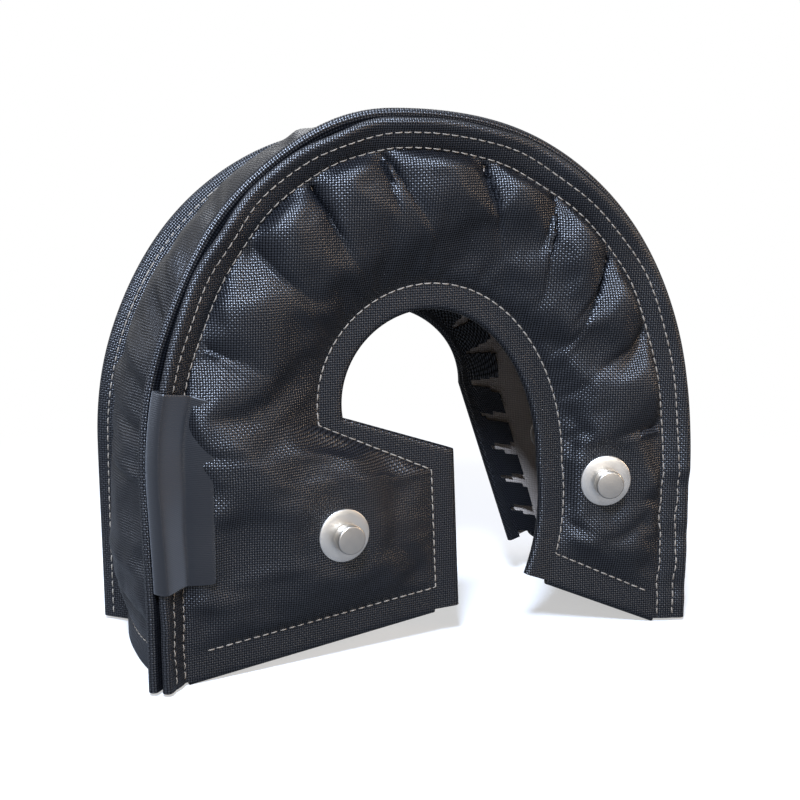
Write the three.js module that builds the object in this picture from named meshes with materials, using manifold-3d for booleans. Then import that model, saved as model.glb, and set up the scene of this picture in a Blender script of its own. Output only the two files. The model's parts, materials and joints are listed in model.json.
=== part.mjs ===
// Removable heat blanket for a turbocharger's turbine housing, standing on its two ends.
// Millimetres, +Z up, +X to the right of the front panel, +Y from the front panel to the rear panel.
// Two padded horseshoe panels are joined by a padded gusset band. Each of the three is a sandwich of outer
// cloth, batting and lining, with its raw edges turned in. Their rims stand out as a seam flange.

import * as THREE from 'three';
import { mergeVertices } from 'three/addons/utils/BufferGeometryUtils.js';
import Module from 'manifold-3d';

const wasm = await Module();
wasm.setup();

// Cloth and seam sizes
const CLOTH = 1.1;
const LINING = 0.9;
const LAYER_GAP = 0.5;
const FRONT_SEAM_GAP = 1.4;
const REAR_SEAM_GAP = 0.4;
const PANEL_FLANGE = 13;
const GUSSET_FLANGE = 14;
const TURN_IN = 10;
const HEM = 11;
const TAB_ROOT = 5;
const TAB_LENGTH = 18;
const TAB_LIFT = 1.6;
const LINING_RAISED = 0.1;
const FOOT_STRIP = 0.8;
const LINING_DROP = 2.2;
const PRESSED_FLAT = 0.5;

// Seam lines of the rims: two straight sides, and two shoulders that meet at the crown
const FRONT_ARCH = {
  left: -108, right: 102, apex: -20, top: 209,
  leftSpring: 85, rightSpring: 72, leftRound: 1.95, rightRound: 2.2,
};
const REAR_ARCH = {
  left: -109, right: 103, apex: -16, top: 196,
  leftSpring: 82, rightSpring: 72, leftRound: 2.0, rightRound: 2.1,
};
const GUSSET_WIDTH = 84;
const ARCH_PROBE = 0.02;

// Lean of the rim flanges away from straight out, towards the viewer of that panel, in degrees
const FRONT_LEAN = { left: 48, crown: 28, right: 16 };
const REAR_LEAN = { left: 42, crown: 24, right: 20 };
const LEAN_TO_CROWN = { from: 0.3, to: 1.6 };
const LEAN_TO_RIGHT = { from: 2, to: 3 };

// Cut-out of the front panel: a lobe on the left, a keyhole above it and a narrow leg on the right
const LOBE_FOOT = new THREE.Vector2(14, 15);
const LOBE_TOP = new THREE.Vector2(10.5, 84);
const KEYHOLE_CENTRE = new THREE.Vector2(-1.5, 107.5);
const KEYHOLE_RADIUS = 37;
const KEYHOLE_START = 190;
const KEYHOLE_ON_RIM = 1.15;
const LEG_SHOULDER = new THREE.Vector2(48.5, 75);
const LEG_BELLY = new THREE.Vector2(52, 50);
const LEG_FOOT = new THREE.Vector2(43, 27);

// Cut-out of the rear panel: a wider horseshoe whose legs spread towards the floor
const REAR_HOLE_CENTRE = new THREE.Vector2(-3, 98);
const REAR_HOLE_HALF_WIDTH = 42;
const REAR_HOLE_RISE = 38;
const REAR_SHOULDERS_ON_RIM = [1.05, 2.95];
const REAR_FOOT_SPREAD = 68;
const REAR_FOOT_HEIGHT = 20;

// Padding: how far each face stands off the plane of its seams, and how far the cut-out edge is drawn in
const FRONT_PUFF = 10;
const REAR_PUFF = 9;
const GUSSET_PUFF = 9;
const LINING_PUFF = 4;
const PUFF_SHARPNESS = 3;
const PUFF_RUN_OUT = 45;
const PUFF_FULL_WIDTH = 80;
const GUSSET_FOOT_PUFF = 0.6;
const FRONT_DRAWN_IN = { left: 13, right: 7 };
const REAR_DRAWN_IN = { left: 8, right: 8 };
const BATTING_CLEARANCE = 1.85;
const BATTING_SHARE = 0.75;

// Gathers under the rim seam: place along the rim (sides 0 to 1 and 3 to 4, shoulders 1 to 3), height, half width
const FRONT_GATHERS = [
  { at: 1.45, height: 1.8, width: 0.05 },
  { at: 1.74, height: 3.2, width: 0.06 },
  { at: 2.03, height: 3.4, width: 0.05 },
  { at: 2.25, height: 2.8, width: 0.05 },
  { at: 2.42, height: 3.8, width: 0.06 },
  { at: 2.62, height: 3.0, width: 0.05 },
  { at: 2.86, height: 2.2, width: 0.05 },
];
const REAR_GATHERS = [
  { at: 1.5, height: 2.5, width: 0.06 },
  { at: 1.95, height: 3.0, width: 0.06 },
  { at: 2.4, height: 3.0, width: 0.06 },
];
const GUSSET_GATHERS = [
  { at: 1.15, height: 1.6, width: 0.05 },
  { at: 1.62, height: 2.4, width: 0.05 },
  { at: 2.2, height: 2.0, width: 0.05 },
  { at: 2.7, height: 2.0, width: 0.05 },
];

// Lacing anchors: stainless washer, turned capstan with its shank, and lock washer on the lining
const WASHER = { radius: 11, thickness: 1.2, bore: 2.2, bevel: 0.3 };
const CAPSTAN = { radius: 6, waist: 5.3, height: 6.5, foot: 1.4, round: 0.8 };
const SHANK_RADIUS = 1.75;
const SHANK_END = 1.6;
const LOCK_WASHER = { radius: 8, thickness: 0.8, bore: 2.05, bevel: 0.2 };
const SHANK_CLEARANCE = 0.35;
const DRILL_LENGTH = 60;
const DRILL_SIDES = 10;
const BATTING_BORE = 2.8;
const SEAT_GAP = 0.4;
const ANCHOR_SEAT = { from: 19, to: 30 };
const ANCHOR_SINK = 1.2;
const FRONT_ANCHORS = [{ name: 'front_left', at: 0.62, share: 0.604 }, { name: 'front_right', at: 3.13, share: 0.614 }];
const REAR_ANCHORS = [{ name: 'rear_left', at: 0.76, share: 0.432 }, { name: 'rear_right', at: 3.175, share: 0.426 }];

// Sewing thread, laid on the outer face
const THREAD_WIDTH = 0.9;
const THREAD_HEIGHT = 0.5;
const OUTER_ROW = 5;
const INNER_ROW = 12;
const THREAD_SET_OFF = 1;

// Label: a folded satin loop caught in the front rim seam on the left
const LABEL_FOOT = 43;
const LABEL_LENGTH = 76;
const LABEL_REACH = 12;
const LABEL_THICKNESS = 0.7;
const LABEL_STAND_OFF = 1.85;
const LABEL_CAUGHT = 5;
const LABEL_STATIONS = [0, 0.2, 0.4, 0.6, 0.8, 1];
const LABEL_PAD_ROWS = [0.6, 1];
const LABEL_CREASE_ROW = 1;
const RIM_HALVINGS = 30;

// Stations along the rim on each stretch between matched points of rim and cut-out
const FRONT_STEPS = [5, 4, 11, 15, 6];
const REAR_STEPS = [5, 8, 8, 5];
const PILLOW_ROWS = [0, 0.08, 0.26, 0.5, 0.78, 0.92, 1];
const BATTING_ROWS = [0.14, 0.26, 0.5, 0.78, 0.85];
const FOLD_TURNS = [0, 60, 120, 180];
const RIM_TURNS = [0, 90, 180];
const TABS_EVERY = 4;
const GUSSET_STEPS = [5, 9, 11, 5];
const GUSSET_ROWS = [0.07, 0.25, 0.5, 0.75, 0.93];
const ANCHOR_SIDES = 14;

// Worked out from the sizes above
const LAYER = (CLOTH + LINING) / 2 + LAYER_GAP;
const TURNED = 2 * LAYER;
const SEAT = LAYER + CLOTH / 2;

const radians = THREE.MathUtils.degToRad;
const FRONT = -1;
const REAR = 1;

const clothMaterial = new THREE.MeshStandardMaterial({ color: 0x1b1d20, roughness: 0.5, metalness: 0 });
const liningMaterial = new THREE.MeshStandardMaterial({ color: 0x9a8678, roughness: 0.9, metalness: 0 });
const battingMaterial = new THREE.MeshStandardMaterial({ color: 0xe8e4da, roughness: 1, metalness: 0 });
const steelMaterial = new THREE.MeshStandardMaterial({ color: 0xcfc8bf, roughness: 0.3, metalness: 1 });
const threadMaterial = new THREE.MeshStandardMaterial({ color: 0xb9a994, roughness: 0.9, metalness: 0 });
const satinMaterial = new THREE.MeshStandardMaterial({ color: 0x0d0d0f, roughness: 0.35, metalness: 0 });

const blanket = new THREE.Group();

function addPiece(name, geometry, material, parent = blanket) {
  const mesh = new THREE.Mesh(geometry, material.clone());
  mesh.name = name;
  parent.add(mesh);
  return mesh;
}

// Rim seam line, t from 0 at the left foot over the crown at 2 to 4 at the right foot

function shoulder(halfWidth, rise, round, quarter) {
  const angle = quarter * Math.PI / 2;
  const power = 2 / round;
  return new THREE.Vector2(halfWidth * Math.cos(angle) ** power, rise * Math.sin(angle) ** power);
}

function archPoint(arch, t) {
  if (t <= 1) {
    return new THREE.Vector2(arch.left, THREE.MathUtils.lerp(SEAT, arch.leftSpring, t));
  }
  if (t >= 3) {
    return new THREE.Vector2(arch.right, THREE.MathUtils.lerp(arch.rightSpring, SEAT, t - 3));
  }
  if (t <= 2) {
    const left = shoulder(arch.apex - arch.left, arch.top - arch.leftSpring, arch.leftRound, t - 1);
    return new THREE.Vector2(arch.apex - left.x, arch.leftSpring + left.y);
  }
  const right = shoulder(arch.right - arch.apex, arch.top - arch.rightSpring, arch.rightRound, 3 - t);
  return new THREE.Vector2(arch.apex + right.x, arch.rightSpring + right.y);
}

function archOutward(arch, t) {
  const before = archPoint(arch, Math.max(t - ARCH_PROBE, 0));
  const after = archPoint(arch, Math.min(t + ARCH_PROBE, 4));
  const along = after.sub(before).normalize();
  return new THREE.Vector2(-along.y, along.x);
}

function smoothRamp(value, ramp) {
  return THREE.MathUtils.smoothstep(value, ramp.from, ramp.to);
}

function leanAt(lean, t) {
  const toCrown = THREE.MathUtils.lerp(lean.left, lean.crown, smoothRamp(t, LEAN_TO_CROWN));
  return radians(THREE.MathUtils.lerp(toCrown, lean.right, smoothRamp(t, LEAN_TO_RIGHT)));
}

// Cut-out edges, each a list of curves with the place on the rim that each curve's end is matched with

function ellipseArc(centre, halfWidth, rise, fromDegrees, toDegrees) {
  const clockwise = toDegrees < fromDegrees;
  return new THREE.EllipseCurve(centre.x, centre.y, halfWidth, rise, radians(fromDegrees), radians(toDegrees),
    clockwise);
}

function frontEdge() {
  const round = ellipseArc(KEYHOLE_CENTRE, KEYHOLE_RADIUS, KEYHOLE_RADIUS, KEYHOLE_START, 90);
  const crown = KEYHOLE_CENTRE.y + KEYHOLE_RADIUS;
  const overCentre = new THREE.Vector2(KEYHOLE_CENTRE.x, LEG_SHOULDER.y);
  const curves = [
    new THREE.LineCurve(LOBE_FOOT, LOBE_TOP),
    new THREE.LineCurve(LOBE_TOP, round.getPoint(0)),
    round,
    ellipseArc(overCentre, LEG_SHOULDER.x - overCentre.x, crown - overCentre.y, 90, 0),
    new THREE.QuadraticBezierCurve(LEG_SHOULDER, LEG_BELLY, LEG_FOOT),
  ];
  const lobeTopOnRim = Math.min((LOBE_TOP.y - SEAT) / (FRONT_ARCH.leftSpring - SEAT), 1);
  return { curves, marks: [0, lobeTopOnRim, KEYHOLE_ON_RIM, 2, 3, 4] };
}

function rearEdge() {
  const leftFoot = new THREE.Vector2(REAR_HOLE_CENTRE.x - REAR_FOOT_SPREAD, REAR_FOOT_HEIGHT);
  const rightFoot = new THREE.Vector2(REAR_HOLE_CENTRE.x + REAR_FOOT_SPREAD, REAR_FOOT_HEIGHT);
  const leftArc = ellipseArc(REAR_HOLE_CENTRE, REAR_HOLE_HALF_WIDTH, REAR_HOLE_RISE, 180, 90);
  const rightArc = ellipseArc(REAR_HOLE_CENTRE, REAR_HOLE_HALF_WIDTH, REAR_HOLE_RISE, 90, 0);
  const curves = [
    new THREE.LineCurve(leftFoot, leftArc.getPoint(0)),
    leftArc,
    rightArc,
    new THREE.LineCurve(rightArc.getPoint(1), rightFoot),
  ];
  const [left, right] = REAR_SHOULDERS_ON_RIM;
  return { curves, marks: [0, left, 2, right, 4] };
}

// Ribs: each runs from the rim seam to the hem's stitch line and on to the cut-out edge

function ribPlaces(edge, steps, arch) {
  const firstLength = edge.curves[0].getLength();
  const lastLength = edge.curves[edge.curves.length - 1].getLength();
  const places = [{ t: 0, curve: 0, f: 0 }, { t: HEM / (arch.leftSpring - SEAT), curve: 0, f: HEM / firstLength }];
  const lastT = 4 - HEM / (arch.rightSpring - SEAT);
  const lastF = 1 - HEM / lastLength;
  edge.curves.forEach((curve, k) => {
    const isLast = k === edge.curves.length - 1;
    const start = k === 0 ? places[1] : { t: edge.marks[k], f: 0 };
    const end = isLast ? { t: lastT, f: lastF } : { t: edge.marks[k + 1], f: 1 };
    for (let i = k === 0 ? 1 : 0; i < steps[k]; i += 1) {
      const share = i / steps[k];
      places.push({
        t: THREE.MathUtils.lerp(start.t, end.t, share),
        curve: k,
        f: THREE.MathUtils.lerp(start.f, end.f, share),
      });
    }
  });
  places.push({ t: lastT, curve: edge.curves.length - 1, f: lastF });
  places.push({ t: 4, curve: edge.curves.length - 1, f: 1 });
  return places;
}

function mitre(points, index) {
  const count = points.length - 1;
  const before = points[Math.max(index, 1)].clone().sub(points[Math.max(index - 1, 0)]).normalize();
  const after = points[Math.min(index + 1, count)].clone().sub(points[Math.min(index, count - 1)]).normalize();
  const first = new THREE.Vector2(before.y, -before.x);
  const second = new THREE.Vector2(after.y, -after.x);
  return first.clone().add(second).divideScalar(1 + first.dot(second));
}

function makePanel({ face, arch, lean, seamGap, edge, steps, puff, drawnIn, gathers, anchors }) {
  const places = ribPlaces(edge, steps, arch);
  const edgePoints = places.map((place) => edge.curves[place.curve].getPointAt(place.f));
  const ribs = places.map((place, index) => {
    const out = mitre(edgePoints, index);
    const rim = archPoint(arch, place.t);
    const share = place.t / 4;
    return {
      t: place.t,
      rim,
      out: archOutward(arch, place.t),
      lean: leanAt(lean, place.t),
      edge: edgePoints[index],
      edgeOut: out,
      stitch: edgePoints[index].clone().addScaledVector(out, -HEM),
      drawnIn: THREE.MathUtils.lerp(drawnIn.left, drawnIn.right, share),
      runOut: endRunOut(rim.y),
    };
  });
  const panel = { face, arch, lean, seamGap, ribs, puff, gathers, anchors: [], seam: GUSSET_WIDTH / 2 };
  return { ...panel, anchors: anchors.map((anchor) => seatedAnchor(panel, anchor)) };
}

// Where an anchor sits on the padding, and how the padding leans there
function seatedAnchor(panel, anchor) {
  const rib = ribAt(panel, anchor.at);
  const toStitch = rib.stitch.clone().sub(rib.rim);
  const outer = outerDepth(panel, rib, anchor.share);
  const lining = liningDepth(panel, rib, anchor.share);
  return {
    name: anchor.name,
    flat: outer.flat,
    outer: outer.depth - ANCHOR_SINK,
    lining: lining.depth + ANCHOR_SINK,
    turn: Math.atan2(rib.drawnIn * Math.sign(toStitch.x), toStitch.length()),
  };
}

function endRunOut(height) {
  const rise = THREE.MathUtils.clamp((height - SEAT - HEM) / PUFF_RUN_OUT, 0, 1);
  return 1 - (1 - rise) ** 3;
}

function pillow(share) {
  return 1 - Math.abs(2 * share - 1) ** PUFF_SHARPNESS;
}

function gatherHeight(gathers, t) {
  return gathers.reduce((sum, g) => sum + g.height * Math.exp(-(((t - g.at) / g.width) ** 2)), 0);
}

function gatherFade(share) {
  return Math.sqrt(Math.max(pillow(share), 0)) * (1 - share) ** 1.5;
}

// A point of the panel in millimetres: flat place, and depth outwards from the plane of the seams
function panelPoint(panel, flat, depth) {
  return new THREE.Vector3(flat.x, panel.face * (panel.seam + depth), flat.y);
}

function flangePoint(panel, rib, along, under) {
  const outward = along * Math.cos(rib.lean) + under * Math.sin(rib.lean);
  const depth = along * Math.sin(rib.lean) - under * Math.cos(rib.lean);
  return panelPoint(panel, rib.rim.clone().addScaledVector(rib.out, outward), depth);
}

// Near a lacing anchor the padding is pulled to a flat seat
function anchorSeat(panel, flat, depth, layer) {
  return panel.anchors.reduce((value, anchor) => {
    const weight = 1 - smoothRamp(flat.distanceTo(anchor.flat), ANCHOR_SEAT);
    const seat = anchor[layer] - Math.tan(anchor.turn) * (flat.x - anchor.flat.x);
    return THREE.MathUtils.lerp(value, seat, weight);
  }, depth);
}

function puffScale(rib, share) {
  const width = rib.rim.distanceTo(rib.stitch);
  return pillow(share) * rib.runOut * Math.min(width / PUFF_FULL_WIDTH, 1);
}

function seatedDepth(panel, rib, share, free, layer) {
  const flat = rib.rim.clone().lerp(rib.stitch, share);
  return { flat, depth: share > 0 && share < 1 ? anchorSeat(panel, flat, free, layer) : free };
}

function outerDepth(panel, rib, share) {
  const gathered = gatherHeight(panel.gathers, rib.t) * gatherFade(share);
  const free = panel.puff * puffScale(rib, share) + gathered - rib.drawnIn * share;
  return seatedDepth(panel, rib, share, free, 'outer');
}

function liningDepth(panel, rib, share) {
  const free = -LAYER - LINING_PUFF * puffScale(rib, share) - rib.drawnIn * share;
  return seatedDepth(panel, rib, share, free, 'lining');
}

// Depth between two rows, as the flat facets of the layer run there
function facetDepth(panel, rib, share, depthAt) {
  const above = PILLOW_ROWS.findIndex((row) => row >= share);
  const from = PILLOW_ROWS[above - 1];
  const to = PILLOW_ROWS[above];
  const depths = [from, to].map((row) => depthAt(panel, rib, row).depth);
  return {
    flat: rib.rim.clone().lerp(rib.stitch, share),
    depth: THREE.MathUtils.lerp(depths[0], depths[1], (share - from) / (to - from)),
  };
}

// Rows of the outer cloth across a rib, from the turned-in strip in the rim to the tips of the hem tabs

function outerRows(panel) {
  const rows = [{ kind: 'rim', at: (rib, under) => flangePoint(panel, rib, PANEL_FLANGE - TURN_IN, TURNED) }];
  RIM_TURNS.slice().reverse().forEach((turn) => {
    const angle = radians(turn);
    const along = PANEL_FLANGE + LAYER * (Math.sin(angle) - 1);
    rows.push({ kind: turn === 0 ? 'flange' : 'rim',
      at: (rib, under) => flangePoint(panel, rib, along, LAYER * (1 - Math.cos(angle)) + under) });
  });
  rows.push({ kind: 'crease', at: (rib, under) => flangePoint(panel, rib, 0, under) });
  PILLOW_ROWS.slice(1).forEach((share) => {
    rows.push({ kind: share === 1 ? 'stitch' : 'pillow', at: (rib, under) => {
      const place = outerDepth(panel, rib, share);
      return panelPoint(panel, place.flat, place.depth - under);
    } });
  });
  FOLD_TURNS.forEach((turn) => {
    const angle = radians(turn);
    rows.push({ kind: turn === 0 ? 'edge' : 'tab', at: (rib, under) => {
      const flat = rib.edge.clone().addScaledVector(rib.edgeOut, LAYER * (Math.sin(angle) - 1));
      return panelPoint(panel, flat, -rib.drawnIn - LAYER * (1 - Math.cos(angle)) - under);
    } });
  });
  rows.push({ kind: 'tab', at: (rib) => {
    const flat = rib.edge.clone().addScaledVector(rib.edgeOut, -TAB_ROOT);
    return panelPoint(panel, flat, -rib.drawnIn - TURNED);
  } });
  rows.push({ kind: 'tip', at: (rib) => tabTip(panel, rib) });
  return rows;
}

function tabTip(panel, rib) {
  const length = rib.rim.distanceTo(rib.stitch);
  const share = 1 - (TAB_LENGTH - HEM) / length;
  const place = facetDepth(panel, rib, share, liningDepth);
  return panelPoint(panel, place.flat, place.depth - LAYER - TAB_LIFT);
}

// Foot hem: the stations beyond the two feet, turned under from the foot line to the stitch line

function footTurns(foot, toward) {
  const turns = FOLD_TURNS.slice(1).map((turn) => ({ angle: radians(turn), strip: 0, foot, toward }));
  return [...turns, { angle: Math.PI, strip: FOOT_STRIP, foot, toward }];
}

function footPoint(rows, ribs, row, turn) {
  const under = LAYER * (1 - Math.cos(turn.angle));
  const foot = rows[row].at(ribs[turn.foot], under);
  const inner = rows[row].at(ribs[turn.foot + turn.toward], under);
  const outward = foot.clone().sub(inner).setY(0).normalize();
  return foot.lerp(inner, turn.strip).addScaledVector(outward, LAYER * Math.sin(turn.angle));
}

// Grid of points, stations by rows, with the two foot hems added before and after

function clothGrid(rows, ribs) {
  const foot = (turn) => rows.map((row, j) => footPoint(rows, ribs, j, turn));
  const body = ribs.map((rib) => rows.map((row) => row.at(rib, 0)));
  const left = footTurns(0, 1).reverse();
  const right = footTurns(ribs.length - 1, -1);
  return [...left.map(foot), ...body, ...right.map(foot)];
}

// Solid of a sheet: two faces over one grid of cells, walls wherever a neighbouring cell is cut away

function shellGeometry(faceA, faceB, isCut = () => false) {
  const stations = faceA.length;
  const rows = faceA[0].length;
  const positions = [];
  const active = (i, j) => i >= 0 && j >= 0 && i < stations - 1 && j < rows - 1 && !isCut(i, j);
  const quad = (a, b, c, d) => {
    [a, b, c, a, c, d].forEach((point) => positions.push(point.x, point.y, point.z));
  };
  for (let i = 0; i < stations - 1; i += 1) {
    for (let j = 0; j < rows - 1; j += 1) {
      if (active(i, j)) {
        quad(faceA[i][j], faceA[i + 1][j], faceA[i + 1][j + 1], faceA[i][j + 1]);
        quad(faceB[i][j], faceB[i][j + 1], faceB[i + 1][j + 1], faceB[i + 1][j]);
        if (!active(i - 1, j)) quad(faceA[i][j], faceA[i][j + 1], faceB[i][j + 1], faceB[i][j]);
        if (!active(i + 1, j)) quad(faceA[i + 1][j + 1], faceA[i + 1][j], faceB[i + 1][j], faceB[i + 1][j + 1]);
        if (!active(i, j - 1)) quad(faceA[i + 1][j], faceA[i][j], faceB[i][j], faceB[i + 1][j]);
        if (!active(i, j + 1)) quad(faceA[i][j + 1], faceA[i + 1][j + 1], faceB[i + 1][j + 1], faceB[i][j + 1]);
      }
    }
  }
  const geometry = new THREE.BufferGeometry();
  geometry.setAttribute('position', new THREE.Float32BufferAttribute(positions, 3));
  return outwardFacing(mergeVertices(geometry, 1e-5));
}

function signedVolume(geometry) {
  const position = geometry.getAttribute('position');
  const corner = (k) => new THREE.Vector3().fromBufferAttribute(position, geometry.index.getX(k));
  let volume = 0;
  for (let k = 0; k < geometry.index.count; k += 3) {
    volume += corner(k).dot(corner(k + 1).cross(corner(k + 2))) / 6;
  }
  return volume;
}

function outwardFacing(geometry) {
  if (signedVolume(geometry) < 0) {
    geometry.index.array.reverse();
  }
  geometry.computeVertexNormals();
  return geometry;
}

// Offsets a grid of centre points by half the cloth's thickness to each side

function offsetFaces(grid, thickness, isCut = () => false) {
  const stations = grid.length;
  const rows = grid[0].length;
  const active = (i, j) => i >= 0 && j >= 0 && i < stations - 1 && j < rows - 1 && !isCut(i, j);
  const unit = (from, to) => to.clone().sub(from).normalize();
  const tangents = (i, j) => {
    const across = new THREE.Vector3();
    const along = new THREE.Vector3();
    if (active(i - 1, j) || active(i, j)) across.add(unit(grid[i][j], grid[i][j + 1]));
    if (active(i - 1, j - 1) || active(i, j - 1)) across.add(unit(grid[i][j - 1], grid[i][j]));
    if (active(i, j - 1) || active(i, j)) along.add(unit(grid[i][j], grid[i + 1][j]));
    if (active(i - 1, j - 1) || active(i - 1, j)) along.add(unit(grid[i - 1][j], grid[i][j]));
    return along.cross(across).normalize();
  };
  const shift = (side) => grid.map((row, i) => row.map((point, j) => (
    point.clone().addScaledVector(tangents(i, j), side * thickness / 2))));
  return [shift(1), shift(-1)];
}

function pressFlat(faces) {
  faces.forEach((face) => face.forEach((row) => row.forEach((point) => {
    point.z = Math.max(point.z, PRESSED_FLAT);
  })));
}

function clothSolid(grid, thickness, isCut) {
  const faces = offsetFaces(grid, thickness, isCut);
  pressFlat(faces);
  return shellGeometry(faces[0], faces[1], isCut);
}

// Holes for the anchor shanks

function toManifold(geometry) {
  const bare = geometry.clone();
  bare.deleteAttribute('normal');
  bare.deleteAttribute('uv');
  const merged = mergeVertices(bare, 1e-4);
  return new wasm.Manifold(new wasm.Mesh({
    numProp: 3,
    vertProperties: new Float32Array(merged.getAttribute('position').array),
    triVerts: new Uint32Array(merged.index.array),
  }));
}

function fromManifold(solid) {
  const mesh = solid.getMesh();
  const geometry = new THREE.BufferGeometry();
  geometry.setAttribute('position', new THREE.Float32BufferAttribute(mesh.vertProperties, 3));
  geometry.setIndex([...mesh.triVerts]);
  geometry.computeVertexNormals();
  return geometry;
}

function withShankHoles(geometry, panel, bore = SHANK_RADIUS + SHANK_CLEARANCE) {
  let solid = toManifold(geometry);
  panel.anchors.forEach((anchor) => {
    const drill = new THREE.CylinderGeometry(bore, bore, DRILL_LENGTH, DRILL_SIDES);
    drill.applyMatrix4(anchorFrame(panel, anchor));
    solid = solid.subtract(toManifold(drill));
  });
  return fromManifold(solid);
}

// Frame of an anchor: local +Y points out of the panel, square to the padding's flat seat
function anchorFrame(panel, anchor) {
  const square = panel.face === FRONT ? Math.PI : 0;
  const place = panelPoint(panel, anchor.flat, anchor.outer);
  const matrix = new THREE.Matrix4().makeTranslation(place.x, place.y, place.z);
  return matrix.multiply(new THREE.Matrix4().makeRotationZ(square - anchor.turn * panel.face));
}

// Panels

function addPanel(name, panel) {
  const { ribs } = panel;
  const rows = outerRows(panel);
  const kinds = rows.map((row) => row.kind);
  const hemStations = FOLD_TURNS.length;
  const lastRib = ribs.length - 1;
  const crease = kinds.indexOf('crease');
  const stitch = kinds.indexOf('stitch');
  const tip = kinds.indexOf('tip');
  const isCut = (i, j) => {
    const station = i - hemStations;
    const inFoot = station < 0 || station >= lastRib;
    if (inFoot) return j <= crease || j >= stitch;
    const isTipCell = j === tip - 1;
    const atEnd = station === 0 || station === lastRib - 1;
    return isTipCell && (atEnd || station % TABS_EVERY === 0);
  };
  const outer = clothSolid(clothGrid(rows, ribs), CLOTH, isCut);
  addPiece(`${name}_outer_cloth`, withShankHoles(outer, panel), clothMaterial);
  addPiece(`${name}_lining`, withShankHoles(liningSolid(panel), panel), liningMaterial);
  addPiece(`${name}_batting`, withShankHoles(battingSolid(panel), panel, BATTING_BORE), battingMaterial);
}

function liningSolid(panel) {
  const grid = panel.ribs.map((rib) => {
    const strip = flangePoint(panel, rib, PANEL_FLANGE - LAYER - LINING, LAYER);
    const crease = flangePoint(panel, rib, -LINING_DROP, LAYER);
    const pad = PILLOW_ROWS.slice(1).map((share) => {
      const place = liningDepth(panel, rib, share);
      return panelPoint(panel, place.flat, place.depth);
    });
    const flat = rib.edge.clone().addScaledVector(rib.edgeOut, -LAYER - LINING);
    return [strip, crease, ...pad, panelPoint(panel, flat, -LAYER - rib.drawnIn)];
  });
  return clothSolid(raisedEnds(grid), LINING);
}

// A lining stops just short of the fold at the foot of its cloth
function raisedEnds(grid) {
  const raise = (row, inner) => row.map((point, j) => point.clone().lerp(inner[j], LINING_RAISED));
  const first = raise(grid[0], grid[1]);
  const last = raise(grid[grid.length - 1], grid[grid.length - 2]);
  return [first, ...grid.slice(1, -1), last];
}

function battingSolid(panel) {
  const ribs = panel.ribs.slice(2, -2);
  const padding = { ...panel, puff: panel.puff * BATTING_SHARE, gathers: [] };
  const outer = ribs.map((rib) => BATTING_ROWS.map((share) => {
    const place = facetDepth(padding, rib, share, outerDepth);
    return panelPoint(panel, place.flat, place.depth - CLOTH / 2 - BATTING_CLEARANCE);
  }));
  const inner = ribs.map((rib) => BATTING_ROWS.map((share) => {
    const place = facetDepth(panel, rib, share, liningDepth);
    return panelPoint(panel, place.flat, place.depth + LINING / 2 + SEAT_GAP);
  }));
  return shellGeometry(outer, inner);
}

// Gusset: the band between the two rims, with a flange along each seam

function gussetTimes() {
  const foot = HEM / (FRONT_ARCH.leftSpring - SEAT);
  const lastFoot = 4 - HEM / (FRONT_ARCH.rightSpring - SEAT);
  const marks = [foot, 1, 2, 3, lastFoot];
  const times = [0];
  GUSSET_STEPS.forEach((steps, k) => {
    for (let i = 0; i < steps; i += 1) {
      times.push(THREE.MathUtils.lerp(marks[k], marks[k + 1], i / steps));
    }
  });
  return [...times, lastFoot, 4];
}

function gussetRibs() {
  return gussetTimes().map((t) => {
    const [front, rear] = [frontPanel, rearPanel].map((panel) => ({
      panel, rim: archPoint(panel.arch, t), out: archOutward(panel.arch, t), lean: leanAt(panel.lean, t),
    }));
    const runOut = THREE.MathUtils.lerp(GUSSET_FOOT_PUFF, 1, endRunOut(front.rim.y));
    return { t, front, rear, runOut };
  });
}

// A point of the gusset's flange: how far below the first of its layers, the turned-in strip of its cloth
function sidePoint(side, along, below) {
  return flangePoint(side.panel, side, along, TURNED + CLOTH + side.panel.seamGap + below);
}

// Across the gusset: share 0 at the front crease, 1 at the rear crease, raised outwards from the line between
function acrossGusset(rib, share, along, below, raised) {
  const from = sidePoint(rib.front, along, below);
  const to = sidePoint(rib.rear, along, below);
  const out = rib.front.out.clone().lerp(rib.rear.out, share).normalize();
  return from.lerp(to, share).add(new THREE.Vector3(out.x * raised, 0, out.y * raised));
}

function gussetFace(rib, share, under) {
  const gathered = gatherHeight(GUSSET_GATHERS, rib.t) * Math.sqrt(pillow(share)) * (1 - share);
  return acrossGusset(rib, share, 0, TURNED, GUSSET_PUFF * pillow(share) * rib.runOut + gathered - under);
}

function gussetRows() {
  const strip = (side) => ({ kind: 'rim', at: (rib) => sidePoint(rib[side], GUSSET_FLANGE - TURN_IN, 0) });
  const turned = (side, turn) => {
    const angle = radians(turn);
    const along = GUSSET_FLANGE + LAYER * (Math.sin(angle) - 1);
    return { kind: 'rim', at: (rib) => sidePoint(rib[side], along, TURNED - LAYER * (1 - Math.cos(angle))) };
  };
  const crease = (side) => ({ kind: `${side}_crease`, at: (rib, under) => sidePoint(rib[side], 0, TURNED - under) });
  const inward = RIM_TURNS.slice().reverse();
  return [
    strip('front'),
    ...inward.map((turn) => turned('front', turn)),
    crease('front'),
    ...GUSSET_ROWS.map((share) => ({ kind: 'pillow', at: (rib, under) => gussetFace(rib, share, under) })),
    crease('rear'),
    ...RIM_TURNS.map((turn) => turned('rear', turn)),
    strip('rear'),
  ];
}

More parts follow.
